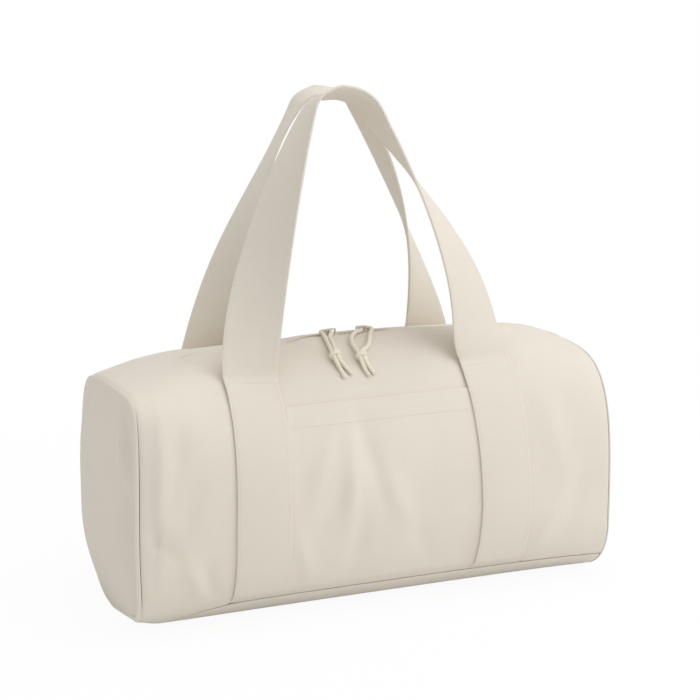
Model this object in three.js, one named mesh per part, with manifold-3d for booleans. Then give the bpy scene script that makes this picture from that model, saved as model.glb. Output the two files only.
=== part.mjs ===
// A canvas barrel bag: crowned body, zip along the ridge, slip pocket, sewn straps and two loop handles.
// Millimetres, +Z up, +X along the bag, front at -Y, origin under the middle of the base.
import * as THREE from "three";
import { mergeVertices } from "three/addons/utils/BufferGeometryUtils.js";
import Module from "manifold-3d";

// Body
const LENGTH = 450; // between the two end seams
const HEIGHT = 237; // ridge at mid length
const RIDGE_RADIUS = 1500; // the zip's crown, an arc along X
const END_DROP = 8; // how far the ridge falls further towards the end seams
const FALL_FROM = 165; // from mid length, where that fall starts
const HALF_DEPTH_MID = 104;
const HALF_DEPTH_END = 100;
const WIDEST_MID = 99; // height of the widest point
const WIDEST_END = 53;
const BASE_HALF = 41; // half width of the flat that stands on the floor
const ROUND_MID = 2; // exponent of the upper section: 2 is an ellipse
const ROUND_END = 4.4; // squarer at the end seams
const CROWN_POWER = 3; // how quickly the section changes towards the ends
const END_BULGE = 18;
const BULGE_POWER = 2.5;
const CANVAS = 1.2;
const GAP = 0.3; // between two pieces that are sewn face to face
const BASE_SEAM = 21.5; // height of the seam between base and walls
const MOUTH_HALF = 7; // half width of the slot that the zip shows in
const MOUTH_CLOSE = 12; // length over which the slot closes past the zip

// End seams
const WELT_WIDTH = 4.5;
const WELT_THICK = 1.6;
const BINDING_WIDTH = 10;
const BINDING_THICK = 0.9;
const BINDING_INSET = 2; // from the end panel

// Pocket, straps and handles
const POCKET_TOP = 195;
const HEM_DEPTH = 20;
const HEM_THICK = 0.9;
const STRAP_WIDTH = 50;
const STRAP_THICK = 2;
const STRAP_AT = 117; // centre of a strap at its foot, from mid length
const STRAP_LEAN = 3.7; // drawn in by the handle at the stitch bar
const LEAN_FROM = 90; // height where the lean starts
const LEAN_TO = 210;
const STITCH_FRONT = 57; // distance from mid depth where a front strap leaves the canvas
const STITCH_BACK = 74; // the back ones leave it lower down
const POCKET_TUCK = 42; // how far the pocket's raw edge lies under a strap
const HANDLE_SETTLE = 40; // length over which a handle turns from square to the bar to its own lean
const HANDLE_RISE = 227; // of the handles' crests above the ridge
const CREST_EASE = 0.75; // share of each shoulder over which the crest stays flat
const HANDLE_SPREAD = 57; // from mid depth, the measure for how far apart the two handles stand

// Zip
const ZIP_HALF = 150; // toothed length, each way
const TOOTH_PITCH = 4.5;
const TOOTH_WIDTH = 1.8;
const TOOTH_ROOT = 2.2;
const TOOTH_REACH = 0.9; // past the centre line
const TOOTH_HEIGHT = 2.2;
const BEAD_INNER = 1.3;
const BEAD_OUTER = 2.4;
const TAPE = 0.8;
const TAPE_OUTER = 17;
const ROW_PART = 2.4; // how far each row stands aside between the sliders
const STOP_LENGTH = 2.6;
const STOP_HEIGHT = 3.2;

// Sliders
const SLIDER_AT = 15; // each side of mid length
const SLIDER_LENGTH = 12;
const SLIDER_NARROW = 3.9; // half width where the rows leave meshed
const SLIDER_WIDE = 6.2;
const PLATE = 1;
const FLANGE = 0.8;
const TAPE_SLOT = 1.5;
const WEDGE_HALF = 1.1;
const WEDGE_SHARE = 0.5; // of the slider's length, from its wide end
const BAIL_WIDTH = 2.2;
const BAIL_BAR = 1.1;
const BAIL_HALF = 5; // half length of the arch over the cord
const BAIL_POST = 1.3;

// Pull cords
const CORD = 3.8;
const KNOT_FLAT = 0.8; // the knot is flatter than it is wide

const HALF = LENGTH / 2;
const ROUND = Math.PI / 2;
const CHANNEL = TOOTH_HEIGHT / 2 + GAP;
const ZIP_DEPTH = CANVAS + GAP + TAPE / 2; // middle of the tape, under the outer face
const ZIP_RADIUS = RIDGE_RADIUS - ZIP_DEPTH;
const ZIP_CENTRE = HEIGHT - RIDGE_RADIUS;

const wasm = await Module();
wasm.setup();

const colours = {
  canvas: { color: 0xded7cb, roughness: 0.9, metalness: 0 },
  webbing: { color: 0xd9d2c6, roughness: 0.88, metalness: 0 },
  tape: { color: 0xd6cebf, roughness: 0.85, metalness: 0 },
  resin: { color: 0xd8d0bf, roughness: 0.45, metalness: 0 },
  enamel: { color: 0xdcd5c6, roughness: 0.35, metalness: 0.2 },
  cotton: { color: 0xe4ddcf, roughness: 0.92, metalness: 0 },
};
const bag = new THREE.Group();

function add(name, geometry, finish) {
  const mesh = new THREE.Mesh(geometry, new THREE.MeshStandardMaterial(colours[finish]));
  mesh.name = name;
  bag.add(mesh);
}

const mix = (a, b, t) => a + (b - a) * t;
const clamp01 = (t) => Math.min(1, Math.max(0, t));
const span = (lo, hi, n) => Array.from({ length: n + 1 }, (_, k) => mix(lo, hi, k / n));

// Height of the ridge at X: the zip's arc, then a further fall to the end seams.
function ridge(x) {
  const arc = ZIP_CENTRE + Math.sqrt(RIDGE_RADIUS ** 2 - x ** 2);
  const past = Math.max(0, Math.abs(x) - FALL_FROM) / (HALF - FALL_FROM);
  return arc - END_DROP * past ** 2;
}

// The section's sizes at X.
function section(x) {
  const t = 1 - Math.abs(x / HALF) ** CROWN_POWER;
  return {
    depth: mix(HALF_DEPTH_END, HALF_DEPTH_MID, t),
    widest: mix(WIDEST_END, WIDEST_MID, t),
    top: ridge(x),
    power: mix(ROUND_END, ROUND_MID, t),
  };
}

// A point of the section: v runs 0 to 1 from the floor to the widest point, then 1 to 2 to the ridge.
function outline(x, side, v) {
  const s = section(x);
  if (v <= 1) {
    const a = v * ROUND;
    const y = BASE_HALF + (s.depth - BASE_HALF) * Math.sin(a);
    return new THREE.Vector3(x, side * y, s.widest * (1 - Math.cos(a)));
  }
  const a = (v - 1) * ROUND;
  const c = Math.max(0, Math.cos(a));
  const r = (c ** s.power + Math.sin(a) ** s.power) ** (-1 / s.power);
  return new THREE.Vector3(x, side * s.depth * r * c, s.widest + (s.top - s.widest) * r * Math.sin(a));
}

// Where the section passes a height, below or above its widest point, or a distance from mid depth.
function vAtHeight(x, z) {
  const s = section(x);
  if (z <= s.widest) return Math.acos(1 - z / s.widest) / ROUND;
  const up = Math.min(1, (z - s.widest) / (s.top - s.widest));
  return 1 + Math.atan2(up, (1 - up ** s.power) ** (1 / s.power)) / ROUND;
}

function vAtHalfWidth(x, y) {
  const s = section(x);
  const out = y / s.depth;
  return 1 + Math.atan2((1 - out ** s.power) ** (1 / s.power), out) / ROUND;
}

// A point of the canvas, moved outwards by lift along the surface's normal.
function skin(x, side, v, lift) {
  const step = 0.01;
  const along = outline(x + 0.5, side, v).sub(outline(x - 0.5, side, v));
  const up = outline(x, side, Math.min(2, v + step)).sub(outline(x, side, Math.max(0, v - step)));
  const normal = along.cross(up).multiplyScalar(-side).normalize();
  return outline(x, side, v).addScaledVector(normal, lift);
}

// Closed triangles from two matching grids of points, the outer face and the inner face.
function slab(outer, inner, looped = false) {
  const rows = outer.length;
  const cols = outer[0].length;
  const points = [...outer.flat(), ...inner.flat()];
  const at = (face, i, j) => face * rows * cols + i * cols + (j % cols);
  const index = [];
  const quad = (a, b, c, d) => index.push(a, b, c, a, c, d);
  const lastColumn = looped ? cols : cols - 1;
  for (let i = 0; i + 1 < rows; i++)
    for (let j = 0; j < lastColumn; j++) {
      quad(at(0, i, j), at(0, i, j + 1), at(0, i + 1, j + 1), at(0, i + 1, j));
      quad(at(1, i, j), at(1, i + 1, j), at(1, i + 1, j + 1), at(1, i, j + 1));
    }
  for (let j = 0; j < lastColumn; j++) {
    quad(at(0, 0, j), at(1, 0, j), at(1, 0, j + 1), at(0, 0, j + 1));
    quad(at(0, rows - 1, j), at(0, rows - 1, j + 1), at(1, rows - 1, j + 1), at(1, rows - 1, j));
  }
  if (!looped)
    for (let i = 0; i + 1 < rows; i++) {
      quad(at(0, i, 0), at(0, i + 1, 0), at(1, i + 1, 0), at(1, i, 0));
      quad(at(0, i, cols - 1), at(1, i, cols - 1), at(1, i + 1, cols - 1), at(0, i + 1, cols - 1));
    }
  return facingOut(points, index);
}

// An indexed geometry whose triangles face outwards, with those that have no area left out.
function facingOut(points, index) {
  let volume = 0;
  for (let k = 0; k < index.length; k += 3) {
    const [a, b, c] = [points[index[k]], points[index[k + 1]], points[index[k + 2]]];
    volume += a.dot(b.clone().cross(c));
  }
  if (volume < 0) index.reverse();
  const loose = new THREE.BufferGeometry().setFromPoints(points);
  loose.setIndex(index);
  const geometry = mergeVertices(loose, 1e-4);
  const joined = Array.from(geometry.index.array);
  const kept = [];
  for (let k = 0; k < joined.length; k += 3) {
    const [a, b, c] = joined.slice(k, k + 3);
    if (a !== b && b !== c && c !== a) kept.push(a, b, c);
  }
  geometry.setIndex(kept);
  return geometry;
}

// A sheet that follows the canvas. Each pair of a row and a column gives X and the height parameter.
function sheet(rows, cols, side, place, low, high) {
  const face = (lift) =>
    rows.map((r) =>
      cols.map((c) => {
        const [x, v] = place(r, c);
        return skin(x, side, v, typeof lift === "function" ? lift(x, c) : lift);
      }),
    );
  return slab(face(high), face(low));
}

// Front and back walls, from the base seam to the zip's slot.
const WALL_END = HALF - GAP;
const WALL_COLUMNS = [...span(0, 0.945, 16), 0.973, 1]; // closer together at the slot
const STOP_FROM = ZIP_HALF + GAP;
const STOP_TO = STOP_FROM + STOP_LENGTH;
const CLOSE_FROM = STOP_TO + 2; // where the slot and the two tapes start to come together
const CLOSE_TO = CLOSE_FROM + MOUTH_CLOSE;
const pastZip = [...span(CLOSE_FROM, CLOSE_TO, 3), ...span(CLOSE_TO, WALL_END, 3).slice(1)];
const WALL_ROWS = [...pastZip.map((x) => -x).reverse(), ...span(-ZIP_HALF, ZIP_HALF, 12), ...pastZip];
const mouth = (x) => mix(MOUTH_HALF, GAP / 2, clamp01((Math.abs(x) - CLOSE_FROM) / MOUTH_CLOSE));
const wallV = (x, t) => mix(vAtHeight(x, BASE_SEAM + GAP), vAtHalfWidth(x, mouth(x)), t);
for (const [name, side] of [["front_panel", -1], ["back_panel", 1]]) {
  const place = (x, t) => [x, wallV(x, t)];
  add(name, sheet(WALL_ROWS, WALL_COLUMNS, side, place, -CANVAS, 0), "canvas");
}

// Base: the flat on the floor and a rise to the seam on each side.
{
  const across = (x, lift) => {
    const arm = (side) => span(0, vAtHeight(x, BASE_SEAM), 4).map((v) => skin(x, side, v, lift));
    return [...arm(-1).reverse(), ...arm(1)];
  };
  const stations = span(-WALL_END, WALL_END, 10);
  const face = (lift) => stations.map((x) => across(x, lift));
  add("base_panel", slab(face(0), face(-CANVAS)), "canvas");
}

// The end seam's closed loop, from the floor up the front, over the ridge and down the back.
function endLoop(steps) {
  const rise = (side) => span(0, 2, steps).map((v) => outline(HALF, side, v));
  return [...rise(-1), ...rise(1).reverse().slice(1), new THREE.Vector3(HALF, 0, 0)];
}

// A point of an end panel: the loop drawn in by share, bulging outwards towards its middle.
const END_MIDDLE = new THREE.Vector3(HALF, 0, ridge(HALF) / 2);
function endPoint(hand, edge, share, lift) {
  const p = END_MIDDLE.clone().lerp(edge, share);
  return new THREE.Vector3(hand * (HALF + END_BULGE * (1 - share ** BULGE_POWER) + lift), p.y, p.z);
}

const INSIDE = CANVAS + TAPE + 2 * GAP; // under the zip's tape
for (const [word, hand] of [["left", -1], ["right", 1]]) {
  const loop = endLoop(16);
  const shares = [0, 0.3, 0.6, 0.83, 1];
  const face = (lift) => shares.map((share) => loop.map((p) => endPoint(hand, p, share, lift)));
  add(`${word}_end_panel`, slab(face(CANVAS), face(0), true), "canvas");

  const edge = 1 - WELT_WIDTH / HALF_DEPTH_END;
  const band = (lift) => [edge, 1].map((share) => loop.map((p) => endPoint(hand, p, share, lift)));
  const under = CANVAS + GAP;
  add(`${word}_end_welt`, slab(band(under + WELT_THICK), band(under), true), "canvas");

  const ring = (depth) =>
    [BINDING_INSET, BINDING_INSET + BINDING_WIDTH].map((back) => {
      const x = hand * (HALF - back);
      const levels = [...span(0, vAtHeight(x, BASE_SEAM), 4), ...WALL_COLUMNS.slice(0, -1).map((t) => wallV(x, t)), 2];
      const rise = (side) => levels.map((v) => skin(x, side, v, -depth));
      return [...rise(-1), ...rise(1).reverse().slice(1)];
    });
  add(`${word}_seam_binding`, slab(ring(INSIDE), ring(INSIDE + BINDING_THICK), true), "tape");
}

// Tape that binds the base seams inside.
const BINDING_END = HALF - BINDING_INSET - BINDING_WIDTH - GAP;
for (const [name, side] of [["front_base_binding", -1], ["back_base_binding", 1]]) {
  const heights = span(BASE_SEAM - BINDING_WIDTH / 2, BASE_SEAM + BINDING_WIDTH / 2, 2);
  const place = (x, z) => [x, vAtHeight(x, z)];
  const rows = span(-BINDING_END, BINDING_END, 10);
  add(name, sheet(rows, heights, side, place, -INSIDE - BINDING_THICK, -INSIDE), "tape");
}

// Slip pocket on the front, its raw sides under the straps and a folded hem along its mouth.
const POCKET_HALF = STRAP_AT - STRAP_WIDTH / 2 + POCKET_TUCK;
const HEM_HALF = STRAP_AT - STRAP_LEAN - STRAP_WIDTH / 2 - 2 * GAP;
{
  const turns = [HEM_HALF, HEM_HALF + GAP, POCKET_HALF];
  const shared = WALL_ROWS.filter((x) => Math.abs(x) < POCKET_HALF);
  const rows = [...shared, ...turns, ...turns.map((x) => -x)].sort((a, b) => a - b);
  const levels = [...span(0, 1, 15), ...span(1.01, 2, 2)];
  const thick = (x, t) => GAP + CANVAS + (t > 1 && Math.abs(x) <= HEM_HALF ? HEM_THICK : 0);
  const place = (x, t) => {
    const hem = vAtHeight(x, POCKET_TOP - HEM_DEPTH);
    if (t <= 1) return [x, mix(vAtHeight(x, BASE_SEAM + 2 * GAP), hem, t)];
    return [x, mix(hem, vAtHeight(x, POCKET_TOP), t - 1)];
  };
  add("front_pocket", sheet(rows, levels, -1, place, GAP, thick), "canvas");
}

// Straps sewn to the walls, the front ones over the pocket's sides.
const strapCentre = (z) => STRAP_AT - STRAP_LEAN * Math.max(0, (z - LEAN_FROM) / (LEAN_TO - LEAN_FROM));
const LIFT_FRONT = GAP + CANVAS + GAP;
const LIFT_BACK = GAP;
const stitchAt = (side) => (side < 0 ? STITCH_FRONT : STITCH_BACK);
for (const [where, side, lift] of [["front", -1, LIFT_FRONT], ["back", 1, LIFT_BACK]])
  for (const [word, hand] of [["left", -1], ["right", 1]]) {
    const foot = BASE_SEAM + 2 * GAP;
    const place = (across, t) => {
      const rough = hand * strapCentre(outline(hand * STRAP_AT, side, mix(0.45, 1.6, t)).z) + across;
      const v = mix(vAtHeight(rough, foot), vAtHalfWidth(rough, stitchAt(side)), t);
      const x = hand * strapCentre(outline(rough, side, v).z) + across;
      return [x, mix(vAtHeight(x, foot), vAtHalfWidth(x, stitchAt(side)), t)];
    };
    const across = span(-STRAP_WIDTH / 2, STRAP_WIDTH / 2, 2);
    const geometry = sheet(across, span(0, 1, 22), side, place, lift, lift + STRAP_THICK);
    add(`${where}_strap_${word}`, geometry, "webbing");
  }

// Where a handle starts: just clear of the outer edge of its strap's end.
function handleStart(side, hand, lift) {
  const centre = hand * strapCentre(outline(hand * STRAP_AT, side, vAtHalfWidth(STRAP_AT, stitchAt(side))).z);
  const corners = [-0.5, 0, 0.5].map((k) => {
    const x = centre + k * STRAP_WIDTH;
    return skin(x, side, vAtHalfWidth(x, stitchAt(side)), lift + STRAP_THICK);
  });
  const out = Math.max(...corners.map((p) => side * p.y));
  const up = Math.max(...corners.map((p) => p.z));
  return new THREE.Vector3(centre, side * (out - STRAP_THICK / 2), up + GAP);
}

// A handle: one leg up from each strap, a shoulder and the crest, turning on itself as it rises.
const vec = (x, y, z) => new THREE.Vector3(x, y, z);
const DEGREE = Math.PI / 180;
function handle(side, lift, crest, twist, legs) {
  const path = [];
  const turns = [];
  const free = [];
  for (const leg of legs) {
    const start = handleStart(side, leg.hand, lift);
    const lean = leg.knee.clone().sub(leg.second).normalize();
    const rise = new THREE.CubicBezierCurve3(start, leg.first, leg.second, leg.knee);
    const reach = leg.hand * CREST_EASE * Math.abs(leg.knee.x - crest.x);
    const shoulder = new THREE.CubicBezierCurve3(
      leg.knee,
      leg.knee.clone().addScaledVector(lean, 0.55 * (crest.z - leg.knee.z)),
      crest.clone().add(vec(reach, 0, 0)),
      crest,
    );
    const line = [...rise.getPoints(12), ...shoulder.getPoints(6).slice(1)];
    const lengths = [0];
    for (let k = 1; k < line.length; k++) lengths.push(lengths[k - 1] + line[k].distanceTo(line[k - 1]));
    const [low, high] = leg.turns;
    const turn = new THREE.CubicBezierCurve(
      new THREE.Vector2(0, 0),
      new THREE.Vector2(1 / 3, low),
      new THREE.Vector2(2 / 3, high),
      new THREE.Vector2(1, twist),
    );
    const angle = lengths.map((l) => turn.getPoint(l / lengths.at(-1)).y * DEGREE);
    const swing = lengths.map((l) => clamp01(l / HANDLE_SETTLE));
    if (leg.hand < 0) {
      path.push(...line);
      turns.push(...angle);
      free.push(...swing);
    } else {
      path.push(...line.reverse().slice(1));
      turns.push(...angle.reverse().slice(1));
      free.push(...swing.reverse().slice(1));
    }
  }
  const edge = (thickness) =>
    path.map((p, k) => {
      const before = path[Math.max(0, k - 1)];
      const after = path[Math.min(path.length - 1, k + 1)];
      const along = after.clone().sub(before);
      along.x *= free[k];
      along.normalize();
      const v = vec(0, -1, 0);
      v.addScaledVector(along, -v.dot(along)).normalize();
      const u = along.clone().cross(v);
      const wide = u.multiplyScalar(Math.cos(turns[k])).addScaledVector(v, Math.sin(turns[k]));
      const normal = wide.clone().cross(along);
      const middle = p.clone().addScaledVector(normal, thickness);
      return span(-0.5, 0.5, 2).map((w) => middle.clone().addScaledVector(wide, w * STRAP_WIDTH));
    });
  return slab(edge(STRAP_THICK / 2), edge(-STRAP_THICK / 2));
}

// A handle's points: shares of the strap's place, of the spread from mid depth and of the rise above the ridge.
const loop = (x, y, z) => vec(x * STRAP_AT, y * HANDLE_SPREAD, HEIGHT + z * HANDLE_RISE);
add(
  "front_handle",
  handle(-1, LIFT_FRONT, loop(-0.192, -0.47, 0.986), 112.7, [
    { hand: -1, first: loop(-0.947, -0.87, 0.23), second: loop(-0.55, -0.575, 0.77),
      knee: loop(-0.391, -0.485, 0.929), turns: [56.3, 72] },
    { hand: 1, first: loop(0.83, -0.86, 0.083), second: loop(1.138, -0.57, 0.147),
      knee: loop(0.17, -0.49, 0.863), turns: [47.6, 86.5] },
  ]),
  "webbing",
);
add(
  "back_handle",
  handle(1, LIFT_BACK, loop(-0.125, 0.455, 0.972), 86.2, [
    { hand: -1, first: loop(-0.77, 1.058, 0.213), second: loop(-0.712, 0.635, 0.581),
      knee: loop(-0.356, 0.52, 0.888), turns: [41.6, 145.9] },
    { hand: 1, first: loop(0.875, 0.975, 0.025), second: loop(0.645, 0.658, 0.523),
      knee: loop(0.22, 0.5, 0.877), turns: [60, 108.5] },
  ]),
  "webbing",
);

// The zip's own measure: s along its arc from mid length, y across, h above the middle of the tape.
function zipPoint(s, y, h) {
  const angle = s / ZIP_RADIUS;
  const r = ZIP_RADIUS + h;
  return vec(r * Math.sin(angle), y, ZIP_CENTRE + r * Math.cos(angle));
}

// How far each row stands aside: closed outside the sliders, apart between them.
const PART_FULL = SLIDER_AT - SLIDER_LENGTH / 2;
const parting = (s) => ROW_PART * clamp01((PART_FULL + SLIDER_LENGTH - Math.abs(s)) / SLIDER_LENGTH);

// Flat cells raised to a thickness and laid along the zip's arc, joined into one closed body.
function plate(cells, low, high) {
  const points = [];
  const index = [];
  const known = new Map();
  const at = ([s, y]) => {
    const key = `${s.toFixed(4)} ${y.toFixed(4)}`;
    if (!known.has(key)) {
      known.set(key, points.length);
      points.push(zipPoint(s, y, low), zipPoint(s, y, high));
    }
    return known.get(key);
  };
  const edges = new Map();
  for (const cell of cells) {
    const [a, b, c, d] = cell.map(at);
    index.push(a, c, b, a, d, c, a + 1, b + 1, c + 1, a + 1, c + 1, d + 1);
    for (const [p, q] of [[a, b], [b, c], [c, d], [d, a]]) {
      if (edges.has(`${q} ${p}`)) edges.delete(`${q} ${p}`);
      else edges.set(`${p} ${q}`, [p, q]);
    }
  }
  for (const [p, q] of edges.values()) index.push(p, q, q + 1, p, q + 1, p + 1);
  return facingOut(points, index);
}

// One row of teeth on its bead; the other row stands half a pitch along.
function toothRow(side, shift) {
  const cells = [];
  const at = (s, r) => [s, side * (r + parting(s))];
  const quad = (a, b, c, d) => cells.push(side < 0 ? [a, b, c, d] : [d, c, b, a]);
  let last = null;
  for (let s = shift + TOOTH_PITCH / 2 - ZIP_HALF; s + TOOTH_ROOT / 2 < ZIP_HALF; s += TOOTH_PITCH) {
    const [from, to] = [s - TOOTH_ROOT / 2, s + TOOTH_ROOT / 2];
    if (last !== null) quad(at(last, BEAD_OUTER), at(from, BEAD_OUTER), at(from, BEAD_INNER), at(last, BEAD_INNER));
    quad(at(from, BEAD_OUTER), at(to, BEAD_OUTER), at(to, BEAD_INNER), at(from, BEAD_INNER));
    const head = TOOTH_WIDTH / 2;
    const tip = [s - head, s + head].map((e) => [e, side * (parting(s) - TOOTH_REACH)]);
    quad(at(from, BEAD_INNER), at(to, BEAD_INNER), tip[1], tip[0]);
    last = to;
  }
  return plate(cells, -TOOTH_HEIGHT / 2, TOOTH_HEIGHT / 2);
}
add("zip_teeth_front", toothRow(-1, 0), "resin");
add("zip_teeth_back", toothRow(1, TOOTH_PITCH / 2), "resin");

// The zip's tapes, under the walls' edges and closing beyond the stops.
for (const [name, side] of [["zip_tape_front", -1], ["zip_tape_back", 1]]) {
  const turns = [PART_FULL, PART_FULL + SLIDER_LENGTH, STOP_TO + GAP];
  const rows = [...WALL_ROWS, ...turns, ...turns.map((x) => -x)].sort((a, b) => a - b);
  const inner = (x) => (Math.abs(x) > STOP_TO + 1 ? GAP : BEAD_OUTER + GAP + parting(x));
  const place = (x, t) => [x, vAtHalfWidth(x, mix(inner(x), TAPE_OUTER, t))];
  const top = CANVAS + GAP;
  add(name, sheet(rows, span(0, 1, 3), side, place, -top - TAPE, -top), "tape");
}

// A stop across both rows at each end of the zip.
for (const [word, hand] of [["left", -1], ["right", 1]]) {
  const [from, to] = [hand * STOP_FROM, hand * STOP_TO].sort((a, b) => a - b);
  const cell = [[from, -BEAD_OUTER], [to, -BEAD_OUTER], [to, BEAD_OUTER], [from, BEAD_OUTER]];
  add(`${word}_zip_stop`, plate([cell], -STOP_HEIGHT / 2, STOP_HEIGHT / 2), "enamel");
}

// Solids for joining, from closed geometry.
function solid(geometry) {
  const bare = geometry.index ? geometry.toNonIndexed() : geometry.clone();
  bare.deleteAttribute("normal");
  bare.deleteAttribute("uv");
  const g = mergeVertices(bare, 1e-4);
  const mesh = new wasm.Mesh({
    numProp: 3,
    vertProperties: Float32Array.from(g.attributes.position.array),
    triVerts: Uint32Array.from(g.index.array),
  });
  return new wasm.Manifold(mesh);
}

function joined(solids) {
  const mesh = wasm.Manifold.union(solids).getMesh();
  const geometry = new THREE.BufferGeometry();
  geometry.setAttribute("position", new THREE.BufferAttribute(mesh.vertProperties, 3));
  geometry.setIndex(new THREE.BufferAttribute(mesh.triVerts, 1));
  return geometry;
}

// A flat shape in X and Y raised from one height to another.
function prism(corners, low, high) {
  const shape = new THREE.Shape(corners.map(([x, y]) => new THREE.Vector2(x, y)));
  const geometry = new THREE.ExtrudeGeometry(shape, { depth: high - low, bevelEnabled: false });
  return solid(geometry.translate(0, 0, low));
}

// A slider: two plates on a wedge, flanges that hold the rows, and an arch for the cord.
const PLATE_TOP = CHANNEL + PLATE;
const BAIL_UNDER = PLATE_TOP + CORD + 2 * GAP;
const BAIL_TOP = BAIL_UNDER + BAIL_BAR;
function slider(hand) {
  const half = SLIDER_LENGTH / 2;
  const outline2 = [[-half, -SLIDER_NARROW], [half, -SLIDER_WIDE], [half, SLIDER_WIDE], [-half, SLIDER_NARROW]];
  const sink = 0.2;
  const parts = [prism(outline2, CHANNEL, PLATE_TOP), prism(outline2, -PLATE_TOP, -CHANNEL)];
  const tip = half - SLIDER_LENGTH * WEDGE_SHARE;
  parts.push(prism([[half, -WEDGE_HALF], [half, WEDGE_HALF], [tip, 0]], -CHANNEL - sink, CHANNEL + sink));
  for (const flip of [-1, 1]) {
    const rail = [
      [-half, flip * (SLIDER_NARROW - FLANGE)],
      [half, flip * (SLIDER_WIDE - FLANGE)],
      [half, flip * SLIDER_WIDE],
      [-half, flip * SLIDER_NARROW],
    ];
    parts.push(prism(rail, TAPE_SLOT / 2, CHANNEL + sink), prism(rail, -CHANNEL - sink, -TAPE_SLOT / 2));
  }
  const arch = new THREE.Shape();
  const open = BAIL_HALF - BAIL_POST;
  arch.moveTo(-BAIL_HALF, PLATE_TOP - sink);
  arch.lineTo(-BAIL_HALF, BAIL_TOP - BAIL_POST);
  arch.quadraticCurveTo(-BAIL_HALF, BAIL_TOP, -BAIL_HALF + BAIL_POST, BAIL_TOP);
  arch.lineTo(BAIL_HALF - BAIL_POST, BAIL_TOP);
  arch.quadraticCurveTo(BAIL_HALF, BAIL_TOP, BAIL_HALF, BAIL_TOP - BAIL_POST);
  arch.lineTo(BAIL_HALF, PLATE_TOP - sink);
  arch.lineTo(open, PLATE_TOP - sink);
  arch.lineTo(open, BAIL_UNDER);
  arch.lineTo(-open, BAIL_UNDER);
  arch.lineTo(-open, PLATE_TOP - sink);
  const bail = new THREE.ExtrudeGeometry(arch, { depth: BAIL_WIDTH, bevelEnabled: false, curveSegments: 4 });
  bail.translate(0, 0, -BAIL_WIDTH / 2).rotateX(ROUND);
  parts.push(solid(bail));
  const geometry = joined(parts);
  if (hand > 0) geometry.rotateZ(Math.PI);
  const s = hand * SLIDER_AT;
  const place = zipPoint(s, 0, 0);
  return geometry.rotateY(s / ZIP_RADIUS).translate(place.x, place.y, place.z);
}
add("left_slider", slider(-1), "enamel");
add("right_slider", slider(1), "enamel");

// A pull cord: doubled through the slider's arch, tied in a knot, with two loose tails on the canvas.
const CORD_LIFT = CORD / 2 + GAP;
const EYE = PLATE_TOP + CORD_LIFT; // height of the cord in the arch
const FLAT = ZIP_DEPTH + CORD_LIFT; // height of the cord where it crosses the slot
const onCanvas = (x, y, lift) => skin(x, -1, vAtHalfWidth(x, -y), lift);
function pull(points, knotAt, turnWidth) {
  const curve = new THREE.CatmullRomCurve3(points, false, "centripetal");
  const ring = new THREE.Shape(
    span(0, 2 * Math.PI, 6).slice(1).map((a) => new THREE.Vector2(Math.cos(a), Math.sin(a)).multiplyScalar(CORD / 2)),
  );
  const steps = Math.round(points.length * 2.2);
  const strand = new THREE.ExtrudeGeometry(ring, { steps, bevelEnabled: false, extrudePath: curve });
  const down = onCanvas(knotAt.x, knotAt.y - 4, knotAt.lift).sub(onCanvas(knotAt.x, knotAt.y + 4, knotAt.lift));
  const middle = onCanvas(knotAt.x, knotAt.y, knotAt.lift);
  const turns = [-1, 1].map((k) => {
    const turn = new THREE.TorusGeometry(turnWidth, CORD / 2, 6, 10);
    turn.rotateY(k * 0.18).scale(1, KNOT_FLAT, 1);
    const basis = new THREE.Matrix4();
    const forward = down.clone().normalize();
    const sideways = vec(1, 0, 0).addScaledVector(forward, -forward.x).normalize();
    basis.makeBasis(sideways, forward.clone().cross(sideways), forward);
    turn.applyMatrix4(basis);
    const c = middle.clone().addScaledVector(forward, k * CORD * 0.42);
    return solid(turn.translate(c.x, c.y, c.z));
  });
  return joined([solid(strand), ...turns]);
}

const KNOT_SIDE = CORD / 2 + 0.05; // each strand, from the knot's middle
const KNOT_TURN = CORD;
const KNOT_LIFT = (KNOT_TURN + CORD / 2) * KNOT_FLAT + GAP;
add(
  "left_pull_cord",
  pull(
    [
      onCanvas(-24.3, -61, CORD_LIFT),
      onCanvas(-26.4, -54, CORD_LIFT),
      onCanvas(-27 - KNOT_SIDE, -45, KNOT_LIFT),
      onCanvas(-27 - KNOT_SIDE, -37, KNOT_LIFT),
      onCanvas(-27.2, -25, CORD_LIFT + 0.8),
      onCanvas(-26.2, -15, CORD_LIFT + 0.6),
      zipPoint(-24.6, -6, FLAT),
      zipPoint(-24, 2, FLAT),
      zipPoint(-20.5, 6.5, FLAT + 0.2),
      zipPoint(-16, 5, EYE),
      zipPoint(-15, 0, EYE),
      zipPoint(-16.2, -5.5, EYE),
      onCanvas(-21.6, -15, CORD_LIFT + 0.6),
      onCanvas(-22.9, -25, CORD_LIFT + 0.8),
      onCanvas(-27 + KNOT_SIDE, -37, KNOT_LIFT),
      onCanvas(-27 + KNOT_SIDE, -45, KNOT_LIFT),
      onCanvas(-20.5, -52.5, CORD_LIFT),
      onCanvas(-16.3, -58.5, CORD_LIFT),
    ],
    { x: -27, y: -41, lift: KNOT_LIFT },
    KNOT_TURN,
  ),
  "cotton",
);
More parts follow.
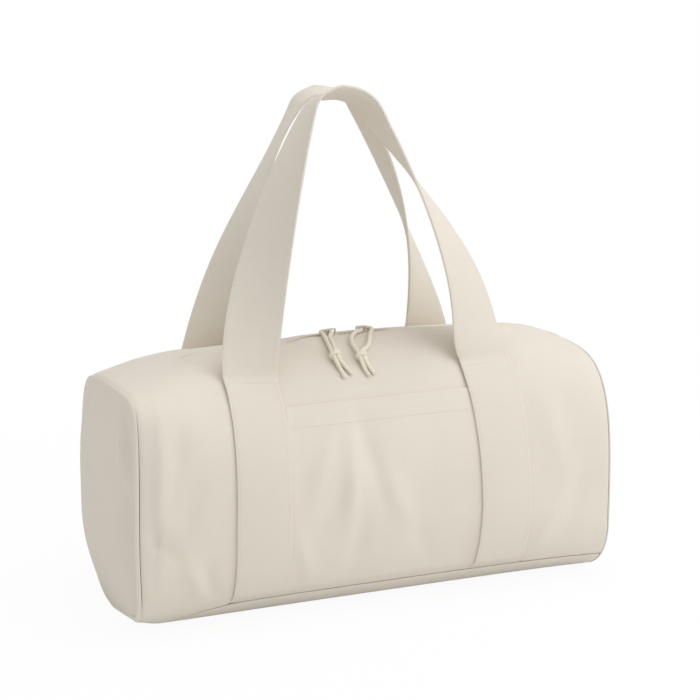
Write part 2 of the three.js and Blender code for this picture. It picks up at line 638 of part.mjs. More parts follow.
add(
  "right_pull_cord",
  pull(
    [
      onCanvas(-0.9, -61, CORD_LIFT),
      onCanvas(-3.2, -55.5, CORD_LIFT),
      onCanvas(-3 - KNOT_SIDE, -48, KNOT_LIFT),
      onCanvas(-3 - KNOT_SIDE, -40, KNOT_LIFT),
      onCanvas(-5, -28, CORD_LIFT + 0.6),
      onCanvas(-1.5, -18, CORD_LIFT + 0.6),
      onCanvas(5.5, -11, CORD_LIFT + 0.9),
      zipPoint(13.5, -4.5, EYE),
      zipPoint(15, 0, EYE),
      zipPoint(16, 5, EYE),
      zipPoint(20.5, 6.5, FLAT + 0.2),
      zipPoint(24.5, 2.5, FLAT),
      zipPoint(23.5, -6, FLAT),
      onCanvas(18, -15, CORD_LIFT + 0.4),
      onCanvas(13, -25, CORD_LIFT + 0.4),
      onCanvas(7.5, -33.5, CORD_LIFT + 1),
      onCanvas(-3 + KNOT_SIDE, -40.5, KNOT_LIFT),
      onCanvas(-3 + KNOT_SIDE, -48, KNOT_LIFT),
      onCanvas(2, -55, CORD_LIFT),
      onCanvas(4.4, -60, CORD_LIFT),
    ],
    { x: -3, y: -44, lift: KNOT_LIFT },
    KNOT_TURN,
  ),
  "cotton",
);

export default bag;
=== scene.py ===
"""A natural canvas barrel bag with webbing handles, dressed over its CAD frame."""

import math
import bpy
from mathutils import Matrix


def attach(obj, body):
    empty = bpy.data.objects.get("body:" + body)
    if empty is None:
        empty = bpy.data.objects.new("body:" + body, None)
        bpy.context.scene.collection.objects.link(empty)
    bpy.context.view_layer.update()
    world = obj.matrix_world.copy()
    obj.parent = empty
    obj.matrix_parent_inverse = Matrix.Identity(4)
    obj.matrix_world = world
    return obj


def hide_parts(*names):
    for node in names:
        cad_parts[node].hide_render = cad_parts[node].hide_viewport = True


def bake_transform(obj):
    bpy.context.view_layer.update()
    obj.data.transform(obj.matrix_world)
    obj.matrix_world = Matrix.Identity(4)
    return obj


bl_info = {
    "name": "Canvas barrel bag",
    "version": (1, 0, 0),
    "blender": (4, 5, 0),
    "location": "View3D > Sidebar > Bag",
    "description": "Builds a canvas barrel bag with its pocket, straps, handles and zip",
    "category": "Object",
}

import bpy
import numpy as np
from bpy.props import FloatProperty, FloatVectorProperty, PointerProperty
from mathutils import Vector, noise

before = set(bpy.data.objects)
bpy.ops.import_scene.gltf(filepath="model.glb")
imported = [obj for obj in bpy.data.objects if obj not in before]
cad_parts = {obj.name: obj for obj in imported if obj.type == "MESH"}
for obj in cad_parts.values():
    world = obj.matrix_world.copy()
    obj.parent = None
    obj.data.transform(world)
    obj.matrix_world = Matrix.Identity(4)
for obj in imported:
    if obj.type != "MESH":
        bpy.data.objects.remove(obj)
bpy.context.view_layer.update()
LEFT, RIGHT = -1, 1
FRONT, BACK = -1, 1
HANDS = (("left", LEFT), ("right", RIGHT))
SIDES = (("front", FRONT), ("back", BACK))

# Small sizes, in metres
ZIP_TAPE = 0.0008
TAPE_INNER = 0.0027
TAPE_OUTER = 0.017
TAPE_PARTED = 0.0024
TAPE_STITCHED = 0.0024
PLATE_TOP = 0.0024
BINDING = 0.0009
BINDING_WIDTH = 0.010
WELT = 0.0007
HEM = 0.0006
CUT_EDGE = 0.0003
CORD_LAY = 0.0032
STITCH_OUT = 0.001
STITCH = (0.0030, 0.0007, 0.0005)
FINE_STITCH = (0.0026, 0.0005, 0.0003)
INSIDE = (0.0, 0.0, 0.1)

# Where soft forms start and the distance over which each one grows, or that distance alone, in metres
CURL_X = (0.203, 0.022)
LEAN_Z = (0.130, 0.070)
TILT_Z = (0.110, 0.090)
SEAM_FALL_X = (0.125, 0.105)
SWAY_X = (0.185, 0.040)
SWAY_Y = 0.060
LIP_X = (0.028, 0.020)
LIP_BACK = 0.024
DIP_NEAR_X = (0.033, 0.030)
DIP_FAR_X = (-0.125, 0.035)
DIP_BACK = 0.035
SLOT_PAST = (0.0049, 0.012)
SEAM_TUCK = (0.0, 0.0030)
FOOT_TUCK = (0.0, 0.0220)

# Height of the left seam's sway and how far it spreads
SWAY_Z, SWAY_SPREAD = 0.080, 0.060

# Swells of the canvas: fineness against the first one and rise of each, waves per metre and seeds
SWELLS = ((1.0, 0.0016), (1.9, 0.0008), (3.1, 0.0005))
WALL_WAVES = (9.0, 7.0)
WALL_SEEDS = {FRONT: 3.0, BACK: 19.0}
END_WAVES = (10.0, 8.0)
END_SEEDS = {LEFT: 31.0, RIGHT: 47.0}
WALL_RELIEF = 1.5

# Folds of the walls: place along and up, tilt in degrees, reach, width and rise
FOLDS = {
    FRONT: (
        # Beside the left end seam and above the base
        ((-0.208, 0.135), 2, 0.050, 0.008, 0.0022),
        ((-0.190, 0.172), 8, 0.022, 0.009, -0.0018),
        ((-0.183, 0.120), 14, 0.030, 0.010, -0.0014),
        ((-0.203, 0.088), -38, 0.022, 0.007, -0.0020),
        ((-0.180, 0.055), -24, 0.024, 0.007, 0.0020),
        ((-0.165, 0.050), -10, 0.022, 0.006, -0.0016),
        # On the pocket
        ((-0.062, 0.140), 24, 0.030, 0.009, 0.0020),
        ((-0.046, 0.118), 32, 0.034, 0.008, -0.0018),
        ((-0.034, 0.128), 4, 0.042, 0.008, 0.0024),
        ((-0.012, 0.140), -14, 0.034, 0.009, -0.0022),
        ((0.012, 0.104), -30, 0.040, 0.011, 0.0018),
        ((0.034, 0.068), -22, 0.030, 0.009, -0.0016),
        ((-0.028, 0.070), 10, 0.026, 0.009, -0.0018),
        ((-0.078, 0.060), -18, 0.026, 0.008, 0.0016),
        # Right of the right strap
        ((0.168, 0.150), -12, 0.040, 0.012, 0.0014),
        ((0.190, 0.085), 16, 0.032, 0.011, -0.0014),
        ((0.160, 0.055), 20, 0.022, 0.008, 0.0014),
    ),
    BACK: (
        ((-0.040, 0.120), 16, 0.045, 0.012, 0.0022),
        ((0.030, 0.100), -20, 0.042, 0.012, -0.0020),
        ((0.185, 0.090), -18, 0.036, 0.010, 0.0018),
        ((-0.186, 0.080), 22, 0.034, 0.010, -0.0018),
        ((-0.064, 0.150), 18, 0.036, 0.010, -0.0022),
        ((0.004, 0.130), -8, 0.045, 0.010, 0.0022),
        ((0.064, 0.085), -24, 0.034, 0.010, 0.0020),
        ((-0.012, 0.065), 12, 0.028, 0.009, -0.0020),
        ((0.176, 0.150), 10, 0.040, 0.010, -0.0020),
        ((-0.176, 0.150), -8, 0.045, 0.010, 0.0020),
    ),
}

# Folds of both end panels, by place across and up, and the hollow of the left one beside its welt
END_FOLDS = (
    ((-0.070, 0.168), 14, 0.030, 0.006, -0.0032),
    ((-0.058, 0.172), 20, 0.032, 0.006, 0.0030),
    ((-0.082, 0.140), 6, 0.040, 0.006, 0.0014),
    ((-0.066, 0.090), -8, 0.045, 0.010, -0.0016),
    ((0.060, 0.165), -16, 0.034, 0.008, -0.0020),
    ((0.050, 0.060), 24, 0.030, 0.009, 0.0016),
)
LEFT_HOLLOW = ((-0.075, 0.102), 2, 0.084, 0.016, -0.0088)

# The camera's turn and rise in degrees, its lens in millimetres, its distance and its aim in metres
CAMERA_TURN = 21.6294
CAMERA_RISE = 14.3435
CAMERA_LENS = 101.3
CAMERA_FAR = 1.8207
CAMERA_AIM = (0.004274, 0.0, 0.220726)

# Lamps: name, place, aim, size and power
LAMPS = (
    ("key", (1.1, -1.0, 1.05), (0.0, 0.0, 0.15), 1.5, 8.2),
    ("top", (0.3, -0.15, 2.2), (0.0, 0.0, 0.1), 1.4, 10.6),
)


def length_of(name, description, default):
    return FloatProperty(name=name, description=description, default=default, unit="LENGTH", precision=4)


def number_of(name, description, default):
    return FloatProperty(name=name, description=description, default=default)


def colour_of(name, description, default):
    return FloatVectorProperty(
        name=name, description=description, default=default, subtype="COLOR", size=3, min=0.0, max=1.0
    )


class BagBody(bpy.types.PropertyGroup):
    """Sizes of the canvas body"""

    length: length_of("Length", "Between the two end seams", 0.450)
    height: length_of("Ridge height", "Height of the zip's ridge at mid length", 0.237)
    ridge_radius: length_of("Ridge radius", "Radius of the ridge's arc along the bag", 1.500)
    drop_left: length_of("Left drop", "How far the ridge falls further towards the left seam", 0.0065)
    drop_right: length_of("Right drop", "How far the ridge falls further towards the right seam", 0.008)
    fall_left: length_of("Left fall", "Distance from mid length where that fall starts", 0.145)
    fall_right: length_of("Right fall", "Distance from mid length where that fall starts", 0.165)
    depth_mid: length_of("Half depth, middle", "Half depth at mid length", 0.104)
    depth_end: length_of("Half depth, ends", "Half depth at the end seams", 0.100)
    widest_mid: length_of("Widest height, middle", "Height of the widest point at mid length", 0.099)
    widest_end: length_of("Widest height, ends", "Height of the widest point at the end seams", 0.053)
    base_half: length_of("Base half width", "Half width of the flat on the floor", 0.041)
    round_mid: number_of("Roundness, middle", "Exponent of the upper section", 2.0)
    round_left: number_of("Roundness, left end", "Exponent at the left seam", 4.4)
    round_right: number_of("Roundness, right end", "Exponent at the right seam", 3.7)
    corner_front: number_of("Left corner, front", "Added roundness exponent", 5.1)
    corner_back: number_of("Left corner, back", "Added roundness exponent", 1.2)
    tilt_front: number_of("Left tilt, front", "Rise of the left end's top edge", 0.065)
    tilt_back: number_of("Left tilt, back", "Fall of the left end's top edge", 0.125)
    narrow_front: length_of("Left narrowing", "How much less deep the left end is in front", 0.0055)
    belly_front: length_of("Left belly, front", "Added height of the widest point", -0.009)
    belly_back: length_of("Left belly, back", "Added height of the widest point", 0.042)
    lean_back: number_of("Left lean, back", "Share by which the left end's back narrows to its top", 0.05)
    toe: length_of("Left toe", "How far the left end's front corner stands off the floor", 0.012)
    curl: length_of("Left toe curl", "How far the very corner of the toe is turned up more", 0.0034)
    foot_front: length_of("Left foot, front", "Added half width of the flat at the left end", 0.034)
    foot_back: length_of("Left foot, back", "Added half width of the flat at the left end", -0.020)
    seam_fall: length_of("Seam fall", "How far the base seam runs down towards the left end", 0.0145)
    sway: length_of("Seam sway", "How far the left seam is pushed out at the front", 0.0018)
    bulge: length_of("End bulge", "How far an end panel swells", 0.018)
    canvas: length_of("Canvas", "Thickness of the canvas", 0.0012)
    gap: length_of("Gap", "Between two sewn layers", 0.0003)
    base_seam: length_of("Base seam", "Height of the seam between base and walls", 0.0215)
    mouth_half: length_of("Mouth", "Half width of the slot over the zip", 0.007)
    lip_front: length_of("Front lip", "How far the front wall stands up along the zip", 0.0036)
    lip_back: length_of("Back lip", "How far the back wall stands up along the zip", -0.0003)
    dip: length_of("Dip", "How far the ridge has sunk beside the left handle", 0.0042)


class BagTrim(bpy.types.PropertyGroup):
    """Sizes of the pocket, straps, handles and zip"""

    pocket_top: length_of("Pocket top", "Height of the pocket's mouth", 0.195)
    hem_depth: length_of("Hem", "Depth of the pocket's hem", 0.020)
    strap_width: length_of("Strap width", "Width of the straps and handles", 0.050)
    strap_thick: length_of("Strap thickness", "Thickness of the straps and handles", 0.002)
    strap_at: length_of("Strap place", "Centre of a strap's foot from mid length", 0.117)
    strap_lean: length_of("Strap lean", "How far a strap is drawn in at its top", 0.0037)
    stitch_front: length_of("Front stitch bar", "Distance from mid depth where a front strap leaves", 0.057)
    stitch_back: length_of("Back stitch bar", "Distance from mid depth where a back strap leaves", 0.074)
    handle_rise: length_of("Handle rise", "Height of the handles' crests above the ridge", 0.227)
    handle_spread: length_of("Handle spread", "Measure for how far apart the handles stand", 0.057)
    pocket_half: length_of("Pocket half width", "With the sides that lie under the straps", 0.134)
    welt_width: length_of("Welt width", "Width of the rim round each end", 0.0045)
    zip_half: length_of("Zip half length", "Toothed length, each way", 0.150)
    cord: length_of("Cord", "Thickness of the pull cords", 0.0038)


class BagFinish(bpy.types.PropertyGroup):
    """Colours of the bag"""

    canvas: colour_of("Canvas", "Unbleached cotton canvas", (0.772, 0.715, 0.625))
    strap: colour_of("Straps", "Folded canvas of the straps", (0.756, 0.702, 0.611))
    tape: colour_of("Tape", "Zip and binding tape", (0.66, 0.60, 0.50))
    teeth: colour_of("Teeth", "Moulded zip teeth", (0.66, 0.60, 0.49))
    enamel: colour_of("Enamel", "Painted sliders and stops", (0.68, 0.63, 0.53))
    cord: colour_of("Cord", "Cotton pull cords", (0.85, 0.79, 0.67))
    thread: colour_of("Thread", "Sewing thread", (0.80, 0.755, 0.665))


def body():
    return bpy.context.scene.bag_body


def trim():
    return bpy.context.scene.bag_trim


def finish():
    return bpy.context.scene.bag_finish


# Shape of the body


def mix(a, b, t):
    return a + (b - a) * t


def ease(t):
    t = np.clip(t, 0.0, 1.0)
    return t * t * (3.0 - 2.0 * t)


def fade(value, start, over):
    """0 up to a start and 1 from a distance past it, with soft ends."""
    return ease((value - start) / over)


def unit(v):
    """Vectors of length 1, from one vector or from rows of them."""
    return v / np.linalg.norm(v, axis=-1, keepdims=True)


def run_along(line):
    """The length run at each point of a line."""
    return np.concatenate([[0.0], np.cumsum(np.linalg.norm(np.diff(line, axis=0), axis=1))])


def evenly(line, count):
    """A line's points set at even distances along it, and its length."""
    run = run_along(line)
    even = np.linspace(0.0, run[-1], count)
    return np.stack([np.interp(even, run, line[:, k]) for k in range(3)], axis=-1), run[-1]


def nearest(share, last):
    """The row of a share, of rows that are counted from 0 to the last one."""
    return np.clip(np.round(share * last).astype(int), 0, last)


def noise_at(points):
    return np.array([noise.noise(Vector(p)) for p in points])


def half():
    return body().length / 2.0


def ridge(x):
    """Height of the ridge at x: the zip's arc, then a softer fall to the end seams."""
    b = body()
    arc = b.height - b.ridge_radius + np.sqrt(b.ridge_radius**2 - x**2)
    start = np.where(np.asarray(x) < 0.0, b.fall_left, b.fall_right)
    past = np.maximum(0.0, np.abs(x) - start) / (half() - start)
    left = b.drop_left * past**1.15
    return arc - np.where(np.asarray(x) < 0.0, left, b.drop_right * past**2)


def left_end(x):
    """1 at the left end seam, falling quickly along the bag."""
    return np.clip(-np.asarray(x, float) / half(), 0.0, 1.0) ** 8


def section(x, side):
    """Half depth, height of the widest point, ridge height and roundness of the section at x."""
    b = body()
    t = 1.0 - np.abs(x / half()) ** 3
    near = left_end(x)
    front = side == FRONT
    depth = mix(b.depth_end, b.depth_mid, t) - (b.narrow_front * near if front else 0.0)
    widest = mix(b.widest_end, b.widest_mid, t) + near * (b.belly_front if front else b.belly_back)
    ends = mix(b.round_left, b.round_right, ease(np.asarray(x) / b.length + 0.5))
    power = mix(ends, b.round_mid, t) + near * (b.corner_front if front else b.corner_back)
    return depth, widest, ridge(x), power


def toe_rise(x, side):
    """How far the left end's front toe is off the floor, with a short curl at its very corner."""
    if side != FRONT:
        return np.zeros(np.shape(x))
    return body().toe * left_end(x) + body().curl * fade(-np.asarray(x, float), *CURL_X)


def outline(x, side, v):
    """Points of the section: v runs 0 to 1 up to the widest point and 1 to 2 on to the ridge."""
    x, v = np.broadcast_arrays(np.asarray(x, float), np.asarray(v, float))
    depth, widest, top, power = section(x, side)
    low = np.minimum(v, 1.0) * math.pi / 2.0
    high = np.clip(v - 1.0, 0.0, 1.0) * math.pi / 2.0
    c = np.maximum(np.cos(high), 0.0)
    r = (c**power + np.sin(high) ** power) ** (-1.0 / power)
    b = body()
    near = left_end(x)
    base = b.base_half + near * (b.foot_front if side == FRONT else b.foot_back)
    toe = toe_rise(x, side)
    y = np.where(v <= 1.0, base + (depth - base) * np.sin(low), depth * r * c)
    z = np.where(v <= 1.0, widest + (toe - widest) * np.cos(low), widest + (top - widest) * r * np.sin(high))
    if side == BACK:
        y = y * (1.0 - b.lean_back * near * fade(z, *LEAN_Z))
    tilt = b.tilt_front if side == FRONT else -b.tilt_back
    z = z + tilt * y * near * fade(z, *TILT_Z)
    return np.stack([x, side * y, z], axis=-1)


def base_seam(x):
    """Height of the seam between base and walls, which runs down to the left end."""
    b = body()
    return b.base_seam - b.seam_fall * fade(-np.asarray(x, float), *SEAM_FALL_X)


def at_height(x, z, side):
    """Where the section at x passes a height."""
    _, widest, top, power = section(x, side)
    toe = toe_rise(x, side)
    z = np.maximum(z, toe + 0.0002)
    low = np.arccos(np.clip((widest - z) / (widest - toe), -1.0, 1.0)) / (math.pi / 2.0)
    up = np.clip((z - widest) / (top - widest), 0.0, 1.0)
    high = 1.0 + np.arctan2(up, (1.0 - up**power) ** (1.0 / power)) / (math.pi / 2.0)
    return np.where(z <= widest, low, high)


def at_half_width(x, y, side):
    """Where the upper section at x passes a distance from mid depth."""
    depth, _, _, power = section(x, side)
    out = np.clip(y / depth, 0.0, 1.0)
    return 1.0 + np.arctan2((1.0 - out**power) ** (1.0 / power), out) / (math.pi / 2.0)


def sway(x, y, z):
    """How far the left end seam is pushed out along its front."""
    reach = fade(-x, *SWAY_X) * ease(-y / SWAY_Y)
    return body().sway * reach * np.exp(-(((z - SWAY_Z) / SWAY_SPREAD) ** 2))


def fold(x, z, at, tilt, reach, width, rise):
    """One soft fold: a ridge or a hollow of the given reach and width, tilted from upright."""
    a = math.radians(tilt)
    along = (x - at[0]) * math.sin(a) + (z - at[1]) * math.cos(a)
    across = (x - at[0]) * math.cos(a) - (z - at[1]) * math.sin(a)
    return rise * np.exp(-((along / reach) ** 2) - (across / width) ** 2)


def drape(x, z, v, side):
    """How far the canvas stands off its smooth section, in metres."""
    b = body()
    t = trim()
    seed = WALL_SEEDS[side]
    wave_x, wave_z = WALL_WAVES
    points = np.stack([np.ravel(x) * wave_x, np.ravel(z) * wave_z + seed, np.full(np.size(x), seed)], axis=-1)
    out = np.zeros(np.shape(x))
    for fineness, rise in SWELLS:
        out = out + noise_at(points * fineness).reshape(np.shape(x)) * rise
    for row in FOLDS[side]:
        out = out + fold(x, z, *row)
    # The canvas lies calm under the straps, at the end seams, above the base seam and along the zip
    strap = np.abs(np.abs(x) - t.strap_at + 0.002) - t.strap_width / 2.0
    calm = fade(strap, -0.004, 0.014)
    calm = calm * ease((half() - np.abs(x)) / 0.016)
    calm = calm * fade(z, b.base_seam, 0.024)
    calm = calm * ease((1.86 - v) / 0.18)
    return out * WALL_RELIEF * calm


def skin(x, side, v, lift):
    """Points of the draped canvas, moved outwards by lift along the surface's normal."""
    x, v = np.broadcast_arrays(np.asarray(x, float), np.asarray(v, float))
    step = 0.01
    nudge = 0.0005
    along = outline(x + nudge, side, v) - outline(x - nudge, side, v)
    up = outline(x, side, np.minimum(2.0, v + step)) - outline(x, side, np.maximum(0.0, v - step))
    normal = unit(np.cross(along, up) * -side)
    point = outline(x, side, v)
    off = drape(x, point[..., 2], v, side) + lift
    point = point + normal * off[..., None]
    point[..., 0] -= sway(point[..., 0], point[..., 1], point[..., 2])
    return point


# Making and finishing pieces


def only(piece):
    """Selects one object alone and makes it active."""
    bpy.ops.object.select_all(action="DESELECT")
    piece.select_set(True)
    bpy.context.view_layer.objects.active = piece


def edit_all(piece, step, **values):
    """Takes one mesh step on the whole of a piece."""
    only(piece)
    bpy.ops.object.mode_set(mode="EDIT")
    bpy.ops.mesh.select_all(action="SELECT")
    step(**values)
    bpy.ops.object.mode_set(mode="OBJECT")


def cloth_grid(name, across, along, place, cloth_uv):
    """A grid whose two shares go through place to points and through cloth_uv to lengths on the cloth."""
    bpy.ops.object.select_all(action="DESELECT")
    bpy.ops.mesh.primitive_grid_add(x_subdivisions=across, y_subdivisions=along, size=1.0)
    piece = bpy.context.object
    piece.name = name
    piece.data.name = name
    mesh = piece.data
    flat = np.empty(len(mesh.vertices) * 3)
    mesh.vertices.foreach_get("co", flat)
    shares = flat.reshape(-1, 3)[:, :2] + 0.5
    points = place(shares[:, 0], shares[:, 1])
    mesh.vertices.foreach_set("co", np.asarray(points, float).ravel())
    layer = mesh.uv_layers[0].data
    uv = np.empty(len(layer) * 2)
    layer.foreach_get("uv", uv)
    uv = uv.reshape(-1, 2)
    layer.foreach_set("uv", np.stack(cloth_uv(uv[:, 0], uv[:, 1]), axis=-1).ravel())
    mesh.update()
    return piece


def face_away(piece):
    """Turns an open sheet so that its faces look away from the inside of the bag."""
    mesh = piece.data
    middle = mesh.polygons[len(mesh.polygons) // 2]
    if middle.normal.dot(middle.center - Vector(INSIDE)) < 0.0:
        edit_all(piece, bpy.ops.mesh.flip_normals)


def weld(piece, distance=1e-6):
    """Merges doubled points."""
    edit_all(piece, bpy.ops.mesh.remove_doubles, threshold=distance)


def apply_modifier(piece, kind, **values):
    only(piece)
    modifier = piece.modifiers.new(kind.title(), kind)
    for key, value in values.items():
        setattr(modifier, key, value)
    bpy.ops.object.modifier_apply(modifier=modifier.name)


def round_edges(piece, width, angle, **values):
    """Rounds the edges that are sharper than an angle."""
    sharp = math.radians(angle)
    apply_modifier(piece, "BEVEL", width=width, segments=2, limit_method="ANGLE", angle_limit=sharp, **values)


def thicken(piece, thickness, offset=-1.0, edge=0.0):
    """Gives a sheet its thickness and rounds its cut edges."""
    apply_modifier(piece, "SOLIDIFY", thickness=thickness, offset=offset, use_even_offset=True)
    if edge > 0.0:
        round_edges(piece, edge, 50, profile=0.6)


def dress(piece, material, nodes=(), ride="bag", angle=40.0):
    """Smooth shading, material, the nodes that the piece stands for and the body it moves with."""
    only(piece)
    bpy.ops.object.shade_smooth_by_angle(angle=math.radians(angle))
    piece.data.materials.clear()
    piece.data.materials.append(material)
    if nodes:
        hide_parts(*nodes)
    if ride:
        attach(piece, ride)
    return piece


def sheet(piece, thickness, edge, look, nodes=()):
    """Finishes a sheet of the bag: faces outwards, thickness inwards, edges, material and nodes."""
    face_away(piece)
    thicken(piece, thickness, -1.0, edge)
    return dress(piece, material(look), nodes)


def stitches(name, places, size):
    """Short lumps of thread, one for each place: a point, its run and the way out of the cloth."""
    bpy.ops.object.select_all(action="DESELECT")
    bpy.ops.mesh.primitive_uv_sphere_add(segments=6, ring_count=4, radius=0.5)
    piece = bpy.context.object
    piece.name = name
    piece.data.name = name
    seed = np.array([v.co for v in piece.data.vertices]) * np.array(size)
    faces = [list(p.vertices) for p in piece.data.polygons]
    points = []
    polygons = []
    for middle, run, out in places:
        run = unit(np.asarray(run))
        out = unit(np.asarray(out) - run * np.dot(out, run))
        across = np.cross(out, run)
        start = len(points)
        points.extend(np.asarray(middle) + seed[:, :1] * run + seed[:, 1:2] * across + seed[:, 2:] * out)
        polygons.extend([start + k for k in face] for face in faces)
    mesh = bpy.data.meshes.new(name)
    mesh.from_pydata([tuple(p) for p in points], [], polygons)
    old = piece.data
    piece.data = mesh
    bpy.data.meshes.remove(old)
    return piece


def stitch_line(place, count):
    """Places for a row of stitches along a line of shares; place gives points at a lift."""
    shares = np.linspace(0.0, 1.0, count * 2 + 1)
    on = place(shares, 0.0)
    off = place(shares, STITCH_OUT)
    found = []
    for k in range(count):
        found.append((on[2 * k + 1], on[2 * k + 2] - on[2 * k], off[2 * k + 1] - on[2 * k + 1]))
    return found


# Materials


def new_group(name, inputs, outputs):
    group = bpy.data.node_groups.new(name, "ShaderNodeTree")
    for label, kind, value in inputs:
        socket = group.interface.new_socket(label, in_out="INPUT", socket_type=kind)
        if value is not None:
            socket.default_value = value
    for label, kind in outputs:
        group.interface.new_socket(label, in_out="OUTPUT", socket_type=kind)
    enter = group.nodes.new("NodeGroupInput")
    leave = group.nodes.new("NodeGroupOutput")
    return group, enter, leave


def maths(tree, operation, a, b=None, clamp=False):
    """A Math node on two sockets or numbers; gives back its output."""
    node = tree.nodes.new("ShaderNodeMath")
    node.operation = operation
    node.use_clamp = clamp
    for k, value in enumerate((a, b)):
        if value is None:
            continue
        if isinstance(value, (int, float)):
            node.inputs[k].default_value = value
        else:
            tree.links.new(value, node.inputs[k])
    return node.outputs[0]


def ramp(tree, start, value, by):
    """A start plus a value times a number or socket."""
    return maths(tree, "ADD", start, maths(tree, "MULTIPLY", value, by))


def scaled(tree, vector, scale):
    node = tree.nodes.new("ShaderNodeVectorMath")
    node.operation = "MULTIPLY"
    tree.links.new(vector, node.inputs[0])
    node.inputs[1].default_value = scale
    return node.outputs[0]


def noise_of(tree, vector, scale, detail=2.0, rough=0.5):
    node = tree.nodes.new("ShaderNodeTexNoise")
    tree.links.new(vector, node.inputs["Vector"])
    node.inputs["Scale"].default_value = scale
    node.inputs["Detail"].default_value = detail
    node.inputs["Roughness"].default_value = rough
    return node.outputs["Fac"]


def weave_group():
    """Plain weave from lengths on the cloth: Height of its threads, the Gaps between them and their Slubs."""
    group, enter, leave = new_group(
        "bag_plain_weave",
        [("Cloth", "NodeSocketVector", None), ("Thread", "NodeSocketFloat", 0.0009)],
        [("Height", "NodeSocketFloat"), ("Gaps", "NodeSocketFloat"), ("Slubs", "NodeSocketFloat")],
    )
    cloth = enter.outputs["Cloth"]
    wander = noise_of(group, cloth, 160.0, 2.0)
    split = group.nodes.new("ShaderNodeSeparateXYZ")
    group.links.new(cloth, split.inputs[0])
    counts = []
    for axis in ("X", "Y"):
        count = maths(group, "DIVIDE", split.outputs[axis], enter.outputs["Thread"])
        counts.append(ramp(group, count, wander, 0.9))
    ridges = []
    for count in counts:
        turn = maths(group, "MULTIPLY", count, math.pi)
        ridges.append(maths(group, "ABSOLUTE", maths(group, "SINE", turn)))
    floors = [maths(group, "FLOOR", count) for count in counts]
    over = maths(group, "MODULO", maths(group, "ADD", floors[0], floors[1]), 2.0)
    over = maths(group, "ABSOLUTE", over)
    under = maths(group, "SUBTRACT", 1.0, over)
    threads = []
    for crown, shown in zip(ridges, (over, under)):
        threads.append(maths(group, "MULTIPLY", crown, ramp(group, 0.45, shown, 0.55)))
    height = maths(group, "MAXIMUM", *threads)
    gaps = maths(group, "SUBTRACT", 1.0, height, clamp=True)
    halves = []
    for stretch in ((420.0, 26.0, 1.0), (22.0, 380.0, 1.0)):
        slub = noise_of(group, scaled(group, cloth, stretch), 1.0, 2.0)
        halves.append(maths(group, "MULTIPLY", slub, 0.5))
    slubs = maths(group, "ADD", *halves)
    group.links.new(ramp(group, height, slubs, 0.6), leave.inputs["Height"])
    group.links.new(gaps, leave.inputs["Gaps"])
    group.links.new(slubs, leave.inputs["Slubs"])
    return group


def tone_group():
    """Uneven tone of unbleached cotton: a slow drift as a Shade and small flecks of husk as a Fleck."""
    group, enter, leave = new_group(
        "bag_cotton_tone",
        [
            ("Place", "NodeSocketVector", None),
            ("Drift", "NodeSocketFloat", 0.05),
            ("Flecks", "NodeSocketFloat", 0.1),
        ],
        [("Shade", "NodeSocketFloat"), ("Fleck", "NodeSocketFloat")],
    )
    place = enter.outputs["Place"]
    slow = maths(group, "SUBTRACT", noise_of(group, place, 14.0, 3.0), 0.5)
    shade = ramp(group, 1.0, slow, enter.outputs["Drift"])
    cells = noise_of(group, place, 640.0, 1.0, 0.3)
    fleck = maths(group, "MULTIPLY", maths(group, "SUBTRACT", cells, 0.74, clamp=True), 9.0, clamp=True)
    group.links.new(shade, leave.inputs["Shade"])
    group.links.new(maths(group, "MULTIPLY", fleck, enter.outputs["Flecks"]), leave.inputs["Fleck"])
    return group


GROUPS = {}


def shared_group(name, make):
    if name not in GROUPS:
        GROUPS[name] = make()
    return GROUPS[name]


def start_material(name, roughness):
    material = bpy.data.materials.new(name)
    material.use_nodes = True
    tree = material.node_tree
    shader = tree.nodes["Principled BSDF"]
    shader.inputs["Roughness"].default_value = roughness
    shader.inputs["Specular IOR Level"].default_value = 0.3
    where = tree.nodes.new("ShaderNodeTexCoord")
    return material, tree, shader, where


def put(tree, group):
    node = tree.nodes.new("ShaderNodeGroup")
    node.node_tree = group
    return node


def tint(tree, colour, shade, dark, amount):
    """A colour times a shade, drawn towards a darker colour by an amount."""
    mixer = tree.nodes.new("ShaderNodeMix")
    mixer.data_type = "RGBA"
    mixer.inputs["A"].default_value = (*colour, 1.0)
    mixer.inputs["B"].default_value = (*dark, 1.0)
    tree.links.new(amount, mixer.inputs["Factor"])
    times = tree.nodes.new("ShaderNodeMix")
    times.data_type = "RGBA"
    times.blend_type = "MULTIPLY"
    times.inputs["Factor"].default_value = 1.0
    tree.links.new(mixer.outputs["Result"], times.inputs["A"])
    grey = tree.nodes.new("ShaderNodeCombineColor")
    for k in range(3):
        tree.links.new(shade, grey.inputs[k])
    tree.links.new(grey.outputs[0], times.inputs["B"])
    return times.outputs["Result"]


def darker(colour, shares):
    return tuple(c * f for c, f in zip(colour, shares))


def add_bump(tree, shader, height, strength, distance):
    node = tree.nodes.new("ShaderNodeBump")
    node.inputs["Strength"].default_value = strength
    node.inputs["Distance"].default_value = distance
    tree.links.new(height, node.inputs["Height"])
    tree.links.new(node.outputs["Normal"], shader.inputs["Normal"])


